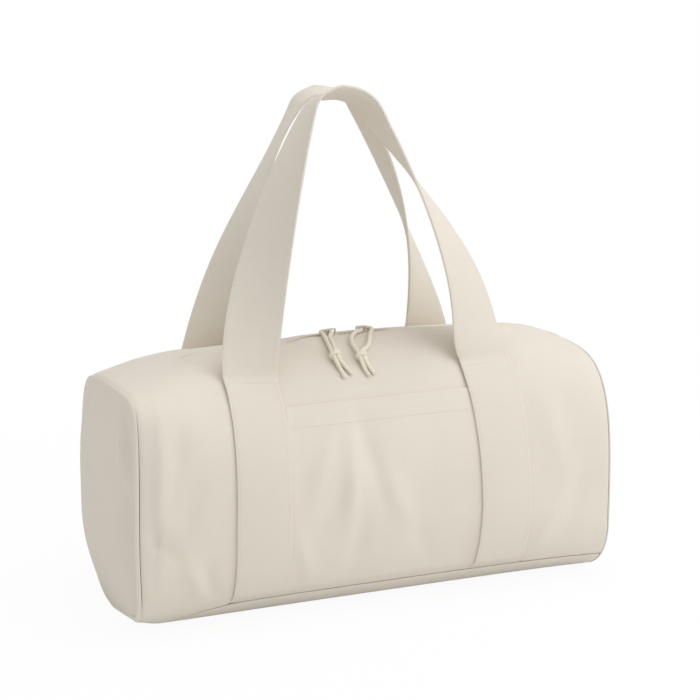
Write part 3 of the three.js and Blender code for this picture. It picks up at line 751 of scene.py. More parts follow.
def canvas_material(name, colour, thread, depth, drift):
    """Woven cotton: threads, slubs, husk flecks, an uneven natural tone and painted shade in the gaps between
    threads.
    """
    material, tree, shader, where = start_material(name, 0.92)
    weave = put(tree, shared_group("weave", weave_group))
    tree.links.new(where.outputs["UV"], weave.inputs["Cloth"])
    weave.inputs["Thread"].default_value = thread
    tone = put(tree, shared_group("tone", tone_group))
    tree.links.new(where.outputs["Object"], tone.inputs["Place"])
    tone.inputs["Drift"].default_value = drift
    tone.inputs["Flecks"].default_value = 0.22
    gaps = weave.outputs["Gaps"]
    shade = maths(tree, "MULTIPLY", tone.outputs["Shade"], ramp(tree, 0.975, weave.outputs["Slubs"], 0.05))
    # Darker at husk flecks, which the cotton has, and in the gaps between threads, which is painted shade
    amount = maths(tree, "ADD", tone.outputs["Fleck"], maths(tree, "MULTIPLY", gaps, 0.12), clamp=True)
    dark = darker(colour, (0.62, 0.56, 0.48))
    tree.links.new(tint(tree, colour, shade, dark, amount), shader.inputs["Base Color"])
    tree.links.new(ramp(tree, 0.84, gaps, 0.14), shader.inputs["Roughness"])
    shader.inputs["Sheen Weight"].default_value = 0.12
    shader.inputs["Sheen Roughness"].default_value = 0.6
    add_bump(tree, shader, weave.outputs["Height"], 0.35, depth)
    return material


def cord_material(name, colour):
    """Laid cotton cord: three strands that wind along it, with loose fibres and painted shade in the grooves
    between the strands.
    """
    material, tree, shader, where = start_material(name, 0.93)
    split = tree.nodes.new("ShaderNodeSeparateXYZ")
    tree.links.new(where.outputs["UV"], split.inputs[0])
    turns = ramp(tree, maths(tree, "DIVIDE", split.outputs["Y"], CORD_LAY), split.outputs["X"], 3.0)
    lay = maths(tree, "ABSOLUTE", maths(tree, "SINE", maths(tree, "MULTIPLY", turns, math.pi)))
    fibre = noise_of(tree, where.outputs["Object"], 2600.0, 2.0)
    gaps = maths(tree, "SUBTRACT", 1.0, lay, clamp=True)
    # Painted shade: the grooves between the strands are drawn towards this darker colour
    dark = darker(colour, (0.6, 0.54, 0.45))
    shade = ramp(tree, 0.94, fibre, 0.12)
    amount = maths(tree, "MULTIPLY", maths(tree, "POWER", gaps, 2.0), 0.3)
    tree.links.new(tint(tree, colour, shade, dark, amount), shader.inputs["Base Color"])
    shader.inputs["Sheen Weight"].default_value = 0.15
    add_bump(tree, shader, ramp(tree, lay, fibre, 0.4), 0.6, 0.0003)
    return material


def moulded_material(name, colour, roughness):
    """Painted or moulded surface: faint mottle, fine orange peel and rubbed tone."""
    material, tree, shader, where = start_material(name, roughness)
    tone = put(tree, shared_group("tone", tone_group))
    tree.links.new(where.outputs["Object"], tone.inputs["Place"])
    tone.inputs["Drift"].default_value = 0.06
    tone.inputs["Flecks"].default_value = 0.05
    rubbed = noise_of(tree, where.outputs["Object"], 900.0, 3.0)
    dark = darker(colour, (0.72, 0.72, 0.72))
    paint = tint(tree, colour, tone.outputs["Shade"], dark, tone.outputs["Fleck"])
    tree.links.new(paint, shader.inputs["Base Color"])
    tree.links.new(ramp(tree, roughness - 0.08, rubbed, 0.16), shader.inputs["Roughness"])
    add_bump(tree, shader, rubbed, 0.12, 0.0001)
    return material


def thread_material(name, colour):
    """Sewing thread: fine uneven fibres with a slight gloss."""
    material, tree, shader, where = start_material(name, 0.7)
    ply = noise_of(tree, where.outputs["Object"], 4000.0, 1.0)
    shade = ramp(tree, 0.94, ply, 0.12)
    dark = darker(colour, (0.8, 0.8, 0.8))
    spun = tint(tree, colour, shade, dark, maths(tree, "MULTIPLY", ply, 0.3))
    tree.links.new(spun, shader.inputs["Base Color"])
    shader.inputs["Sheen Weight"].default_value = 0.1
    add_bump(tree, shader, ply, 0.3, 0.0001)
    return material


MATERIALS = {}


def material(name):
    if name in MATERIALS:
        return MATERIALS[name]
    f = finish()
    makers = {
        "canvas": lambda: canvas_material("bag_canvas", tuple(f.canvas), 0.00090, 0.00022, 0.05),
        "strap": lambda: canvas_material("bag_strap_canvas", tuple(f.strap), 0.00085, 0.00020, 0.04),
        "tape": lambda: canvas_material("bag_woven_tape", tuple(f.tape), 0.00055, 0.00014, 0.04),
        "cord": lambda: cord_material("bag_pull_cord", tuple(f.cord)),
        "teeth": lambda: moulded_material("bag_zip_teeth", tuple(f.teeth), 0.45),
        "enamel": lambda: moulded_material("bag_zip_enamel", tuple(f.enamel), 0.38),
        "thread": lambda: thread_material("bag_sewing_thread", tuple(f.thread)),
    }
    MATERIALS[name] = makers[name]()
    return MATERIALS[name]


# Stage


class BAG_OT_stage(bpy.types.Operator):
    """Make the camera, the lights, the world and the floor"""

    bl_idname = "bag.stage"
    bl_label = "Stage"

    def execute(self, context):
        scene = context.scene
        scene.view_settings.view_transform = "Standard"
        turn, rise = math.radians(CAMERA_TURN), math.radians(CAMERA_RISE)
        ahead = Vector((math.sin(turn) * math.cos(rise), math.cos(turn) * math.cos(rise), -math.sin(rise)))
        camera = bpy.data.objects.new("camera", bpy.data.cameras.new("camera"))
        scene.collection.objects.link(camera)
        camera.data.sensor_width = 36.0
        camera.data.lens = CAMERA_LENS
        camera.location = Vector(CAMERA_AIM) - ahead * CAMERA_FAR
        camera.rotation_mode = "QUATERNION"
        camera.rotation_quaternion = ahead.to_track_quat("-Z", "Y")
        scene.camera = camera

        bpy.ops.object.select_all(action="DESELECT")
        bpy.ops.mesh.primitive_plane_add(size=60.0)
        floor = context.object
        floor.name = "floor"
        floor.data.materials.append(self.floor_material())

        for lamp in LAMPS:
            self.lamp(*lamp)

        world = bpy.data.worlds.new("studio")
        scene.world = world
        world.use_nodes = True
        tree = world.node_tree
        backing = tree.nodes["Background"]
        path = tree.nodes.new("ShaderNodeLightPath")
        seen = maths(tree, "MAXIMUM", path.outputs["Is Camera Ray"], maths(
            tree, "MAXIMUM", path.outputs["Is Glossy Ray"], path.outputs["Is Transmission Ray"]))
        backing.inputs["Color"].default_value = (1.0, 1.0, 1.0, 1.0)
        tree.links.new(ramp(tree, 0.69, seen, 0.31), backing.inputs["Strength"])
        return {"FINISHED"}

    def lamp(self, name, place, aim, size, power):
        data = bpy.data.lights.new(name, "AREA")
        data.shape = "DISK"
        data.size = size
        data.energy = power
        lamp = bpy.data.objects.new(name, data)
        bpy.context.scene.collection.objects.link(lamp)
        lamp.location = place
        lamp.rotation_mode = "QUATERNION"
        lamp.rotation_quaternion = (Vector(aim) - Vector(place)).to_track_quat("-Z", "Y")

    def floor_material(self):
        material = bpy.data.materials.new("stage_floor")
        material.use_nodes = True
        tree = material.node_tree
        shader = tree.nodes["Principled BSDF"]
        shader.inputs["Base Color"].default_value = (0.92, 0.92, 0.92, 1.0)
        shader.inputs["Roughness"].default_value = 0.9
        white = tree.nodes.new("ShaderNodeEmission")
        white.inputs["Color"].default_value = (1.0, 1.0, 1.0, 1.0)
        blend = tree.nodes.new("ShaderNodeMixShader")
        path = tree.nodes.new("ShaderNodeLightPath")
        seen = maths(tree, "MAXIMUM", path.outputs["Is Camera Ray"], path.outputs["Is Glossy Ray"])
        where = tree.nodes.new("ShaderNodeTexCoord")
        far = tree.nodes.new("ShaderNodeVectorMath")
        far.operation = "LENGTH"
        tree.links.new(where.outputs["Object"], far.inputs[0])
        white_share = maths(tree, "MULTIPLY_ADD", maths(tree, "POWER", far.outputs["Value"], 2.0), 0.12)
        white_share.node.inputs[2].default_value = 0.93
        white_share.node.use_clamp = True
        tree.links.new(maths(tree, "MULTIPLY", seen, white_share), blend.inputs["Fac"])
        tree.links.new(shader.outputs["BSDF"], blend.inputs[1])
        tree.links.new(white.outputs["Emission"], blend.inputs[2])
        tree.links.new(blend.outputs["Shader"], tree.nodes["Material Output"].inputs["Surface"])
        return material


# Pull cords


def zip_radius():
    b = body()
    return b.ridge_radius - b.canvas - b.gap - ZIP_TAPE / 2.0


def zip_point(s, y, h):
    """A point by its run along the zip's arc, its distance across and its height over the tape."""
    b = body()
    r = zip_radius() + h
    angle = s / zip_radius()
    return np.array([r * math.sin(angle), y, b.height - b.ridge_radius + r * math.cos(angle)])


def on_canvas(x, y, lift):
    x, y = np.array([x]), np.array([y])
    lift = lift + lip(x, FRONT, -y - body().mouth_half)
    return skin(x, FRONT, at_half_width(x, -y, FRONT), lift)[0]


def smooth_route(points, count):
    """Even points along a centripetal curve through the given ones."""
    p = np.array(points)
    p = np.vstack([2 * p[0] - p[1], p, 2 * p[-1] - p[-2]])
    knots = np.concatenate([[0.0], np.cumsum(np.sqrt(np.linalg.norm(np.diff(p, axis=0), axis=1)))])
    fine = []
    for k in range(1, len(p) - 2):
        for t in np.linspace(knots[k], knots[k + 1], 24, endpoint=False):
            fine.append(span_point(p[k - 1 : k + 3], knots[k - 1 : k + 3], t))
    fine.append(p[-2])
    return evenly(np.array(fine), count)


def span_point(p, k, t):
    a = [((k[i + 1] - t) * p[i] + (t - k[i]) * p[i + 1]) / (k[i + 1] - k[i]) for i in range(3)]
    b = [((k[i + 2] - t) * a[i] + (t - k[i]) * a[i + 1]) / (k[i + 2] - k[i]) for i in range(2)]
    return ((k[2] - t) * b[0] + (t - k[1]) * b[1]) / (k[2] - k[1])


def tube(name, route, radius, length):
    """A laid cord along a route, closed at both ends."""
    count = len(route)
    ahead = unit(np.gradient(route, axis=0))
    side = np.cross(ahead[0], (0.0, 0.0, 1.0))
    sides = []
    for k in range(count):
        side = unit(side - ahead[k] * np.dot(side, ahead[k]))
        sides.append(side)
    sides = np.array(sides)
    ups = np.cross(ahead, sides)

    def place(u, v):
        row = nearest(v, count - 1)
        angle = u * 2.0 * math.pi
        wave = np.abs(np.sin(1.5 * angle + math.pi * v * length / CORD_LAY))
        r = radius * (0.95 + 0.05 * wave)
        r = np.where((row == 0) | (row == count - 1), radius * 0.02, r)
        return route[row] + r[:, None] * (
            np.cos(angle)[:, None] * sides[row] + np.sin(angle)[:, None] * ups[row]
        )

    piece = cloth_grid(name, 18, count - 1, place, lambda u, v: (u, v * length))
    weld(piece, 4e-5)
    edit_all(piece, bpy.ops.mesh.normals_make_consistent, inside=False)
    return piece


class BAG_OT_pull_cords(bpy.types.Operator):
    """Make the two knotted pull cords"""

    bl_idname = "bag.pull_cords"
    bl_label = "Pull cords"

    def execute(self, context):
        d = trim().cord
        b = body()
        lie = d / 2.0 + b.gap
        eye = PLATE_TOP + lie
        flat = b.canvas + b.gap + ZIP_TAPE / 2.0 + lie
        beside = d / 2.0 + 0.00005
        knot = (d + d / 2.0) * 0.8 + b.gap
        left_a = [
            zip_point(-0.015, 0.0, eye), zip_point(-0.0162, -0.0055, eye + 0.0003),
            on_canvas(-0.0216, -0.015, lie + 0.0006), on_canvas(-0.0229, -0.025, lie + 0.0008),
            on_canvas(-0.027 + beside, -0.037, knot), on_canvas(-0.027 + beside, -0.045, knot),
            on_canvas(-0.0205, -0.0525, lie), on_canvas(-0.0163, -0.0585, lie),
        ]
        left_b = [
            zip_point(-0.015, 0.0, eye), zip_point(-0.016, 0.005, eye),
            zip_point(-0.0205, 0.0065, flat + 0.0002), zip_point(-0.024, 0.002, flat + 0.0004),
            zip_point(-0.0246, -0.006, flat + 0.0010),
            on_canvas(-0.0262, -0.015, lie + 0.0006), on_canvas(-0.0272, -0.025, lie + 0.0008),
            on_canvas(-0.027 - beside, -0.037, knot), on_canvas(-0.027 - beside, -0.045, knot),
            on_canvas(-0.0264, -0.054, lie), on_canvas(-0.0243, -0.061, lie),
        ]
        right_a = [
            zip_point(0.015, 0.0, eye), zip_point(0.0135, -0.0045, eye),
            on_canvas(0.0055, -0.011, lie + 0.0009), on_canvas(-0.0015, -0.018, lie + 0.0006),
            on_canvas(-0.005, -0.028, lie + 0.0006),
            on_canvas(-0.003 - beside, -0.040, knot), on_canvas(-0.003 - beside, -0.048, knot),
            on_canvas(-0.0032, -0.0555, lie), on_canvas(-0.0009, -0.061, lie),
        ]
        right_b = [
            zip_point(0.015, 0.0, eye), zip_point(0.016, 0.005, eye),
            zip_point(0.0205, 0.0065, flat + 0.0002), zip_point(0.0245, 0.0025, flat + 0.0004),
            zip_point(0.0235, -0.006, flat + 0.0010),
            on_canvas(0.018, -0.015, lie + 0.0004), on_canvas(0.013, -0.025, lie + 0.0004),
            on_canvas(0.0075, -0.0335, lie + 0.001), on_canvas(-0.003 + beside, -0.0405, knot),
            on_canvas(-0.003 + beside, -0.048, knot),
            on_canvas(0.002, -0.055, lie), on_canvas(0.0044, -0.060, lie),
        ]
        pulls = (("left", left_a, left_b, (-0.027, -0.041)), ("right", right_a, right_b, (-0.003, -0.044)))
        for word, first, second, at in pulls:
            made = []
            for letter, points in (("a", first), ("b", second)):
                route, length = smooth_route(points, 60)
                piece = tube(f"{word}_pull_strand_{letter}", route, d / 2.0, length)
                made.append((piece, route, length))
            tie = self.knot(f"{word}_pull_knot", at, knot, d)
            dress(tie, material("cord"), ride=f"{word}_pull")
            for piece, route, length in made:
                dress(piece, material("cord"), [f"{word}_pull_cord"], ride=f"{word}_pull")
        return {"FINISHED"}

    def knot(self, name, at, lift, d):
        """Two crossing turns of the cord round both strands."""
        low = on_canvas(at[0], at[1] - 0.004, lift)
        high = on_canvas(at[0], at[1] + 0.004, lift)
        run = unit(low - high)
        across = np.array([1.0, 0.0, 0.0])
        across = unit(across - run * np.dot(across, run))
        out = np.cross(run, across)
        if out[2] < 0.0:
            out = -out
        middle = (low + high) / 2.0
        angle = np.linspace(0.0, 4.0 * math.pi, 90)
        wide = d * 1.02
        climb = (angle / (4.0 * math.pi) - 0.5) * d * 1.5
        cross = np.sin(angle * 0.5) * d * 0.25
        route = (
            middle
            + np.outer(np.cos(angle) * wide, across)
            + np.outer(np.sin(angle) * wide * 0.8, out)
            + np.outer(climb + cross, run)
        )
        return tube(name, route, d / 2.0, run_along(route)[-1])


# Canvas body


def closing(x):
    """0 along the zip and 1 where the slot past its ends has closed."""
    start, over = SLOT_PAST
    return np.clip((np.abs(x) - trim().zip_half - start) / over, 0.0, 1.0)


def lip(x, side, back):
    """How far a wall stands up at a distance back from its edge along the zip."""
    b = body()
    rise = b.lip_front if side == FRONT else b.lip_back
    rise = rise * (0.4 + 0.6 * fade(np.abs(x), *LIP_X)) * (1.0 - 0.85 * closing(x))
    return rise * ease(1.0 - back / LIP_BACK)


def dip(x, back):
    """How far the ridge has sunk beside the left handle, at a distance back from the zip."""
    along = fade(-x, *DIP_NEAR_X) * fade(x, *DIP_FAR_X)
    return body().dip * along * ease(1.0 - back / DIP_BACK)


def mouth_edge(x):
    """Half width of the slot over the zip at x."""
    return mix(body().mouth_half, body().gap / 2.0, closing(x))


def wall_v(x, t, side):
    """Where a wall's share t lies, from the base seam to the zip."""
    low = at_height(x, base_seam(x) + body().gap, side)
    return mix(low, at_half_width(x, mouth_edge(x), side), t)


class BAG_OT_walls(bpy.types.Operator):
    """Make the front and back walls and the base"""

    bl_idname = "bag.walls"
    bl_label = "Walls and base"

    def execute(self, context):
        b = body()
        end = half() - b.gap
        girth = 0.30
        for word, side in SIDES:

            def place(u, t, side=side):
                x = mix(-end, end, u)
                # The cloth turns in at the end seams, at the base seam and under the pocket's foot
                at_end = np.where(x < 0.0, 0.0010, 0.0003)
                tuck = at_end * (1.0 - fade(end - np.abs(x), *SEAM_TUCK))
                tuck = tuck + 0.0009 * (1.0 - fade(t * girth, *SEAM_TUCK))
                if side == FRONT:
                    under = 1.0 - fade(np.abs(x) - trim().pocket_half, 0.006, 0.006)
                    tuck = tuck + 0.0022 * under * (1.0 - fade(t * girth, *FOOT_TUCK))
                back = (1.0 - t) * girth
                return skin(x, side, wall_v(x, t, side), lip(x, side, back) - dip(x, back) - tuck)

            name = f"{word}_panel"
            piece = cloth_grid(name, 150, 96, place, lambda u, t: (u * b.length, t * girth))
            sheet(piece, b.canvas, CUT_EDGE, "canvas", [name])

        # Share of the base's width that lies flat on the floor
        floor = 0.45

        def base(u, t):
            x = mix(-end, end, u)
            seam = base_seam(x)
            girt = np.abs(t - 0.5) * 2.0
            arm = np.clip((girt - floor) / (1.0 - floor), 0.0, 1.0)
            side = np.where(t < 0.5, -1.0, 1.0)
            front = outline(x, FRONT, arm * at_height(x, seam, FRONT))
            back = outline(x, BACK, arm * at_height(x, seam, BACK))
            point = np.where((t < 0.5)[:, None], front, back)
            flat = np.clip(girt / floor, 0.0, 1.0)
            point[:, 1:] = np.where((girt < floor)[:, None], point[:, 1:] * flat[:, None], point[:, 1:])
            edge = 0.0008 * (1.0 - fade(end - np.abs(x), *SEAM_TUCK))
            edge = edge + 0.0007 * fade(girt, 0.985, 0.015)
            point[:, 1] -= side * edge
            point[:, 0] -= sway(point[:, 0], point[:, 1], point[:, 2])
            return point

        piece = cloth_grid("base_panel", 110, 60, base, lambda u, t: (u * b.length, t * 0.2))
        sheet(piece, b.canvas, CUT_EDGE, "canvas", ["base_panel"])
        return {"FINISHED"}


def end_loop(hand, count):
    """The end seam's closed loop, even along its length, from the middle of the floor round the front."""
    v = np.linspace(0.0, 2.0, 400)
    edge = np.full(len(v), hand * half())
    front = outline(edge, FRONT, v)
    back = outline(edge, BACK, v[::-1])
    base = front[:1] * np.array([1.0, 0.0, 0.0])
    return evenly(np.concatenate([base, front, back[1:], base]), count + 1)


def end_point(hand, edge, share, lift):
    """A point of an end panel: the loop drawn in by share, swelling towards its middle."""
    b = body()
    middle = np.array([half(), 0.0, float(ridge(half())) / 2.0])
    p = middle + (edge - middle) * share[:, None]
    # The left end swells less towards its top
    fuller = 0.19 + 0.81 * ease((0.212 - p[:, 2]) / 0.083) if hand == LEFT else 1.0
    p[:, 0] = hand * (half() + b.bulge * fuller * (1.0 - share**2.5) + lift)
    p[:, 0] -= sway(edge[:, 0], edge[:, 1], edge[:, 2]) * share**3
    return p


class BAG_OT_ends(bpy.types.Operator):
    """Make the two end panels and the welts round them"""

    bl_idname = "bag.ends"
    bl_label = "End panels and welts"

    def execute(self, context):
        b = body()
        w = trim().welt_width / b.depth_end
        count = 176
        for word, hand in HANDS:
            loop, length = end_loop(hand, count)

            def panel(u, t, hand=hand):
                edge = loop[nearest(u, count)]
                share = t**0.8
                flat = end_point(hand, edge, share, np.zeros(len(u)))
                lift = b.canvas + self.folds(flat[:, 1], flat[:, 2], share, hand)
                return end_point(hand, edge, share, lift)

            name = f"{word}_end_panel"
            piece = cloth_grid(name, count, 48, panel, lambda u, t: (u, t))
            weld(piece)
            self.flat_uv(piece)
            sheet(piece, b.canvas, CUT_EDGE, "canvas", [name])

            def welt(u, t, hand=hand):
                row = nearest(u, count)
                share = 1.0 - w * (1.0 - t)
                crest = np.sin(math.pi * t**1.3) ** 0.9
                # The left welt stands out more along its front
                high = mix(0.0008, 0.0022, ease(0.5 - loop[row, 1] / 0.10)) if hand == LEFT else 0.0007
                lift = b.canvas - 0.0003 + high * crest
                return end_point(hand, loop[row], share, lift)

            name = f"{word}_end_welt"
            piece = cloth_grid(name, count, 10, welt, lambda u, t: (u * length, t * 0.006))
            weld(piece)
            sheet(piece, WELT, 0.0, "canvas", [name])
        return {"FINISHED"}

    def folds(self, y, z, share, hand):
        """How far an end panel stands off its smooth swelling, in metres."""
        wave_y, wave_z = END_WAVES
        points = np.stack([y * wave_y, z * wave_z, np.full(len(y), END_SEEDS[hand])], axis=-1)
        out = noise_at(points) * SWELLS[0][1]
        for row in END_FOLDS:
            out = out + fold(y, z, *row)
        if hand == LEFT:
            out = out + fold(y, z, *LEFT_HOLLOW)
        return out * ease((1.0 - share) / 0.09)

    def flat_uv(self, piece):
        layer = piece.data.uv_layers[0].data
        for loop in piece.data.loops:
            point = piece.data.vertices[loop.vertex_index].co
            layer[loop.index].uv = (point.y, point.z)


class BAG_OT_bindings(bpy.types.Operator):
    """Make the tapes that bind the seams inside"""

    bl_idname = "bag.bindings"
    bl_label = "Seam bindings"

    def execute(self, context):
        b = body()
        inside = b.canvas + ZIP_TAPE + 2.0 * b.gap
        for word, hand in HANDS:

            def ring(u, t, hand=hand):
                x = hand * (half() - 0.002 - BINDING_WIDTH * t)
                v = np.where(u < 0.5, u * 4.0, (1.0 - u) * 4.0)
                front = skin(x, FRONT, v, -inside)
                back = skin(x, BACK, v, -inside)
                return np.where((u <= 0.5)[:, None], front, back)

            name = f"{word}_seam_binding"
            piece = cloth_grid(name, 160, 4, ring, lambda u, t: (u * 0.76, t * BINDING_WIDTH))
            sheet(piece, BINDING, 0.0, "tape", [name])
        end = half() - 0.0123
        for word, side in SIDES:

            def strip(u, t, side=side):
                x = mix(-end, end, u)
                v = at_height(x, np.maximum(0.002, base_seam(x) + (t - 0.5) * BINDING_WIDTH), side)
                return skin(x, side, v, -inside)

            name = f"{word}_base_binding"
            piece = cloth_grid(name, 90, 4, strip, lambda u, t: (u * 0.42, t * BINDING_WIDTH))
            sheet(piece, BINDING, 0.0, "tape", [name])
        return {"FINISHED"}


class BAG_OT_pocket(bpy.types.Operator):
    """Make the slip pocket with its hem"""

    bl_idname = "bag.pocket"
    bl_label = "Pocket"

    def execute(self, context):
        b = body()
        t = trim()
        wide = t.pocket_half
        foot = b.base_seam + 2.0 * b.gap
        over = b.gap + b.canvas
        tall = 0.19

        def level(x, share, low, high):
            return mix(at_height(x, low, FRONT), at_height(x, high, FRONT), share)

        def cloth(u, s):
            x = mix(-wide, wide, u)
            lift = over - 0.0023 * (1.0 - ease(s * tall / 0.0200))
            return skin(x, FRONT, level(x, s, foot, t.pocket_top), lift)

        piece = cloth_grid("front_pocket", 110, 70, cloth, lambda u, s: (u * 2 * wide, s * tall))
        sheet(piece, b.canvas, CUT_EDGE, "canvas", ["front_pocket"])

        inner = t.strap_at - t.strap_lean - t.strap_width / 2.0 - 2.0 * b.gap

        def hem(u, s):
            x = mix(-inner, inner, u)
            crest = 0.0008 * ease(s * t.hem_depth / 0.0130) - 0.0006 - 0.0002 * fade(s, 0.9, 0.1)
            v = level(x, s, t.pocket_top - t.hem_depth, t.pocket_top)
            return skin(x, FRONT, v, over + crest)

        piece = cloth_grid("pocket_hem", 90, 14, hem, lambda u, s: (u * 2 * inner, 0.3 + s * t.hem_depth))
        sheet(piece, HEM, 0.0002, "canvas")

        def line(share, lift):
            x = mix(-inner + 0.002, inner - 0.002, share)
            v = at_height(x, t.pocket_top - t.hem_depth + 0.003, FRONT)
            return skin(x, FRONT, v, over + 0.0002 + lift)

        piece = stitches("pocket_hem_stitches", stitch_line(line, 48), FINE_STITCH)
        dress(piece, material("thread"), angle=180.0)
        return {"FINISHED"}


# Straps and handles

# Rows of points in each sewn strap
SEWN_ROWS = 64
# Stitches in each bar where a handle leaves its strap
BAR_STITCHES = 17

# Shares of the strap's place, of the handles' spread and of their rise above the ridge, and turns in degrees
HANDLES = {
    FRONT: {
        "crest": (-0.192, -0.470, 0.993),
        "twist": 110.5,
        "reach": 0.68,
        "legs": (
            (LEFT, (-0.947, -0.870, 0.230), (-0.550, -0.575, 0.770), (-0.391, -0.485, 0.929), (56.3, 72.0)),
            (RIGHT, (0.830, -0.860, 0.083), (1.138, -0.570, 0.147), (0.170, -0.490, 0.863), (47.6, 86.5)),
        ),
    },
    BACK: {
        "crest": (-0.092, 0.455, 0.973),
        "twist": 86.2,
        "reach": 0.78,
        "legs": (
            (LEFT, (-0.748, 1.058, 0.213), (-0.684, 0.635, 0.581), (-0.352, 0.520, 0.888), (41.6, 143.0)),
            (RIGHT, (0.875, 0.975, 0.025), (0.645, 0.658, 0.523), (0.220, 0.500, 0.877), (72.0, 104.0)),
        ),
    },
}


def loop_point(shares):
    t = trim()
    return np.array([
        shares[0] * t.strap_at, shares[1] * t.handle_spread, body().height + shares[2] * t.handle_rise
    ])


def stitch_at(side):
    return trim().stitch_front if side == FRONT else trim().stitch_back


def strap_centre(z):
    t = trim()
    return t.strap_at - t.strap_lean * np.maximum(0.0, (z - 0.090) / 0.120)


def strap_lift(side):
    b = body()
    return b.gap + b.canvas + b.gap if side == FRONT else b.gap


def sewn_strap(side, hand, share, across, lift):
    """A point of a sewn strap: share runs from its foot to the stitch bar, across from -0.5 to 0.5."""
    b = body()
    t = trim()
    foot = b.base_seam + 2.0 * b.gap
    x = hand * t.strap_at + across * t.strap_width
    for _ in range(3):
        low = at_height(x, foot, side)
        v = mix(low, at_half_width(x, stitch_at(side), side), share)
        z = outline(x, side, v)[..., 2]
        x = hand * strap_centre(z) + across * t.strap_width
    under = strap_lift(side)
    if side == FRONT:
        past = fade(np.abs(x) - t.pocket_half, -0.004, 0.010) * ease((0.97 - share) / 0.10)
        past = np.maximum(past, fade(z, t.pocket_top, 0.012) * ease((0.97 - share) / 0.10))
        under = mix(under, b.gap, past)
    sink = 1.0 - fade(share * 0.21, *FOOT_TUCK)
    return skin(x, side, v, under + lift - (under + t.strap_thick + 0.0006) * sink)


def bezier(a, b, c, d, t):
    t = t[:, None]
    return a * (1 - t) ** 3 + 3 * b * t * (1 - t) ** 2 + 3 * c * t**2 * (1 - t) + d * t**3


def handle_frame(side):
    """Points, widths and normals along a handle, from its left stitch bar over the crest to its right one."""
    t = trim()
    spec = HANDLES[side]
    crest = loop_point(spec["crest"])
    points, turns, free = [], [], []
    for hand, first, second, knee, (low, high) in spec["legs"]:
        one = np.array([1.0])
        ends = [sewn_strap(side, hand, one, np.array([k]), t.strap_thick)[0] for k in (-0.5, 0.0, 0.5)]
        out = max(side * p[1] for p in ends)
        high_end = max(p[2] for p in ends) + body().gap
        start = np.array([ends[1][0], side * (out - t.strap_thick / 2.0), high_end])
        first, second, knee = (loop_point(p) for p in (first, second, knee))
        lean = unit(knee - second) * 0.55 * (crest[2] - knee[2])
        rise = bezier(start, first, second, knee, np.linspace(0.0, 1.0, 60))
        reach = np.array([hand * spec["reach"] * abs(knee[0] - crest[0]), 0.0, 0.0])
        over = bezier(knee, knee + lean, crest + reach, crest, np.linspace(0.0, 1.0, 30))
        line, length = evenly(np.concatenate([rise, over[1:]]), 80)
        even = np.linspace(0.0, length, 80)
        s = even / length
        angle = np.radians(3 * low * s * (1 - s) ** 2 + 3 * high * s**2 * (1 - s) + spec["twist"] * s**3)
        swing = np.clip(even / 0.040, 0.0, 1.0)
        if hand == RIGHT:
            line, angle, swing = line[::-1][1:], angle[::-1][1:], swing[::-1][1:]
        points.append(line)
        turns.append(angle)
        free.append(swing)
    points = np.concatenate(points)
    turns = np.concatenate(turns)
    free = np.concatenate(free)
    ahead = np.gradient(points, axis=0)
    ahead[:, 0] *= free
    ahead = unit(ahead)
    level = unit(np.array([0.0, -1.0, 0.0]) - ahead * -ahead[:, 1:2])
    upright = np.cross(ahead, level)
    wide = np.cos(turns)[:, None] * upright + np.sin(turns)[:, None] * level
    return points, wide, np.cross(wide, ahead)


def strip_surface(side):
    """The whole strip of strap, handle and strap: its edge, middle and other edge, and the way out."""
    t = trim()
    lift = t.strap_thick / 2.0
    shares = np.linspace(0.0, 0.985, SEWN_ROWS)
    middle = np.zeros(SEWN_ROWS)
    rows = []
    for hand in (LEFT, RIGHT):
        a = sewn_strap(side, hand, shares, middle - 0.5, lift)
        c = sewn_strap(side, hand, shares, middle + 0.5, lift)
        m = sewn_strap(side, hand, shares, middle, lift)
        out = sewn_strap(side, hand, shares, middle, lift + 0.001) - m
        rows.append((a, m, c, unit(out)))
    points, wide, normal = handle_frame(side)
    half_wide = wide * t.strap_width / 2.0
    if np.dot(normal[0], rows[0][3][-1]) < 0.0:
        normal = -normal
    a = np.concatenate([rows[0][0], points - half_wide, rows[1][2][::-1]])
    m = np.concatenate([rows[0][1], points, rows[1][1][::-1]])
    c = np.concatenate([rows[0][2], points + half_wide, rows[1][0][::-1]])
    out = np.concatenate([rows[0][3], normal, rows[1][3][::-1]])
    return a, m, c, out


def bowed(left, middle, right, w):
    """Points across a strip at shares w from its middle, bowed through the middle line."""
    bow = middle - (left + right) / 2.0
    return mix(left, right, w + 0.5) + bow * (1.0 - 4.0 * w**2)


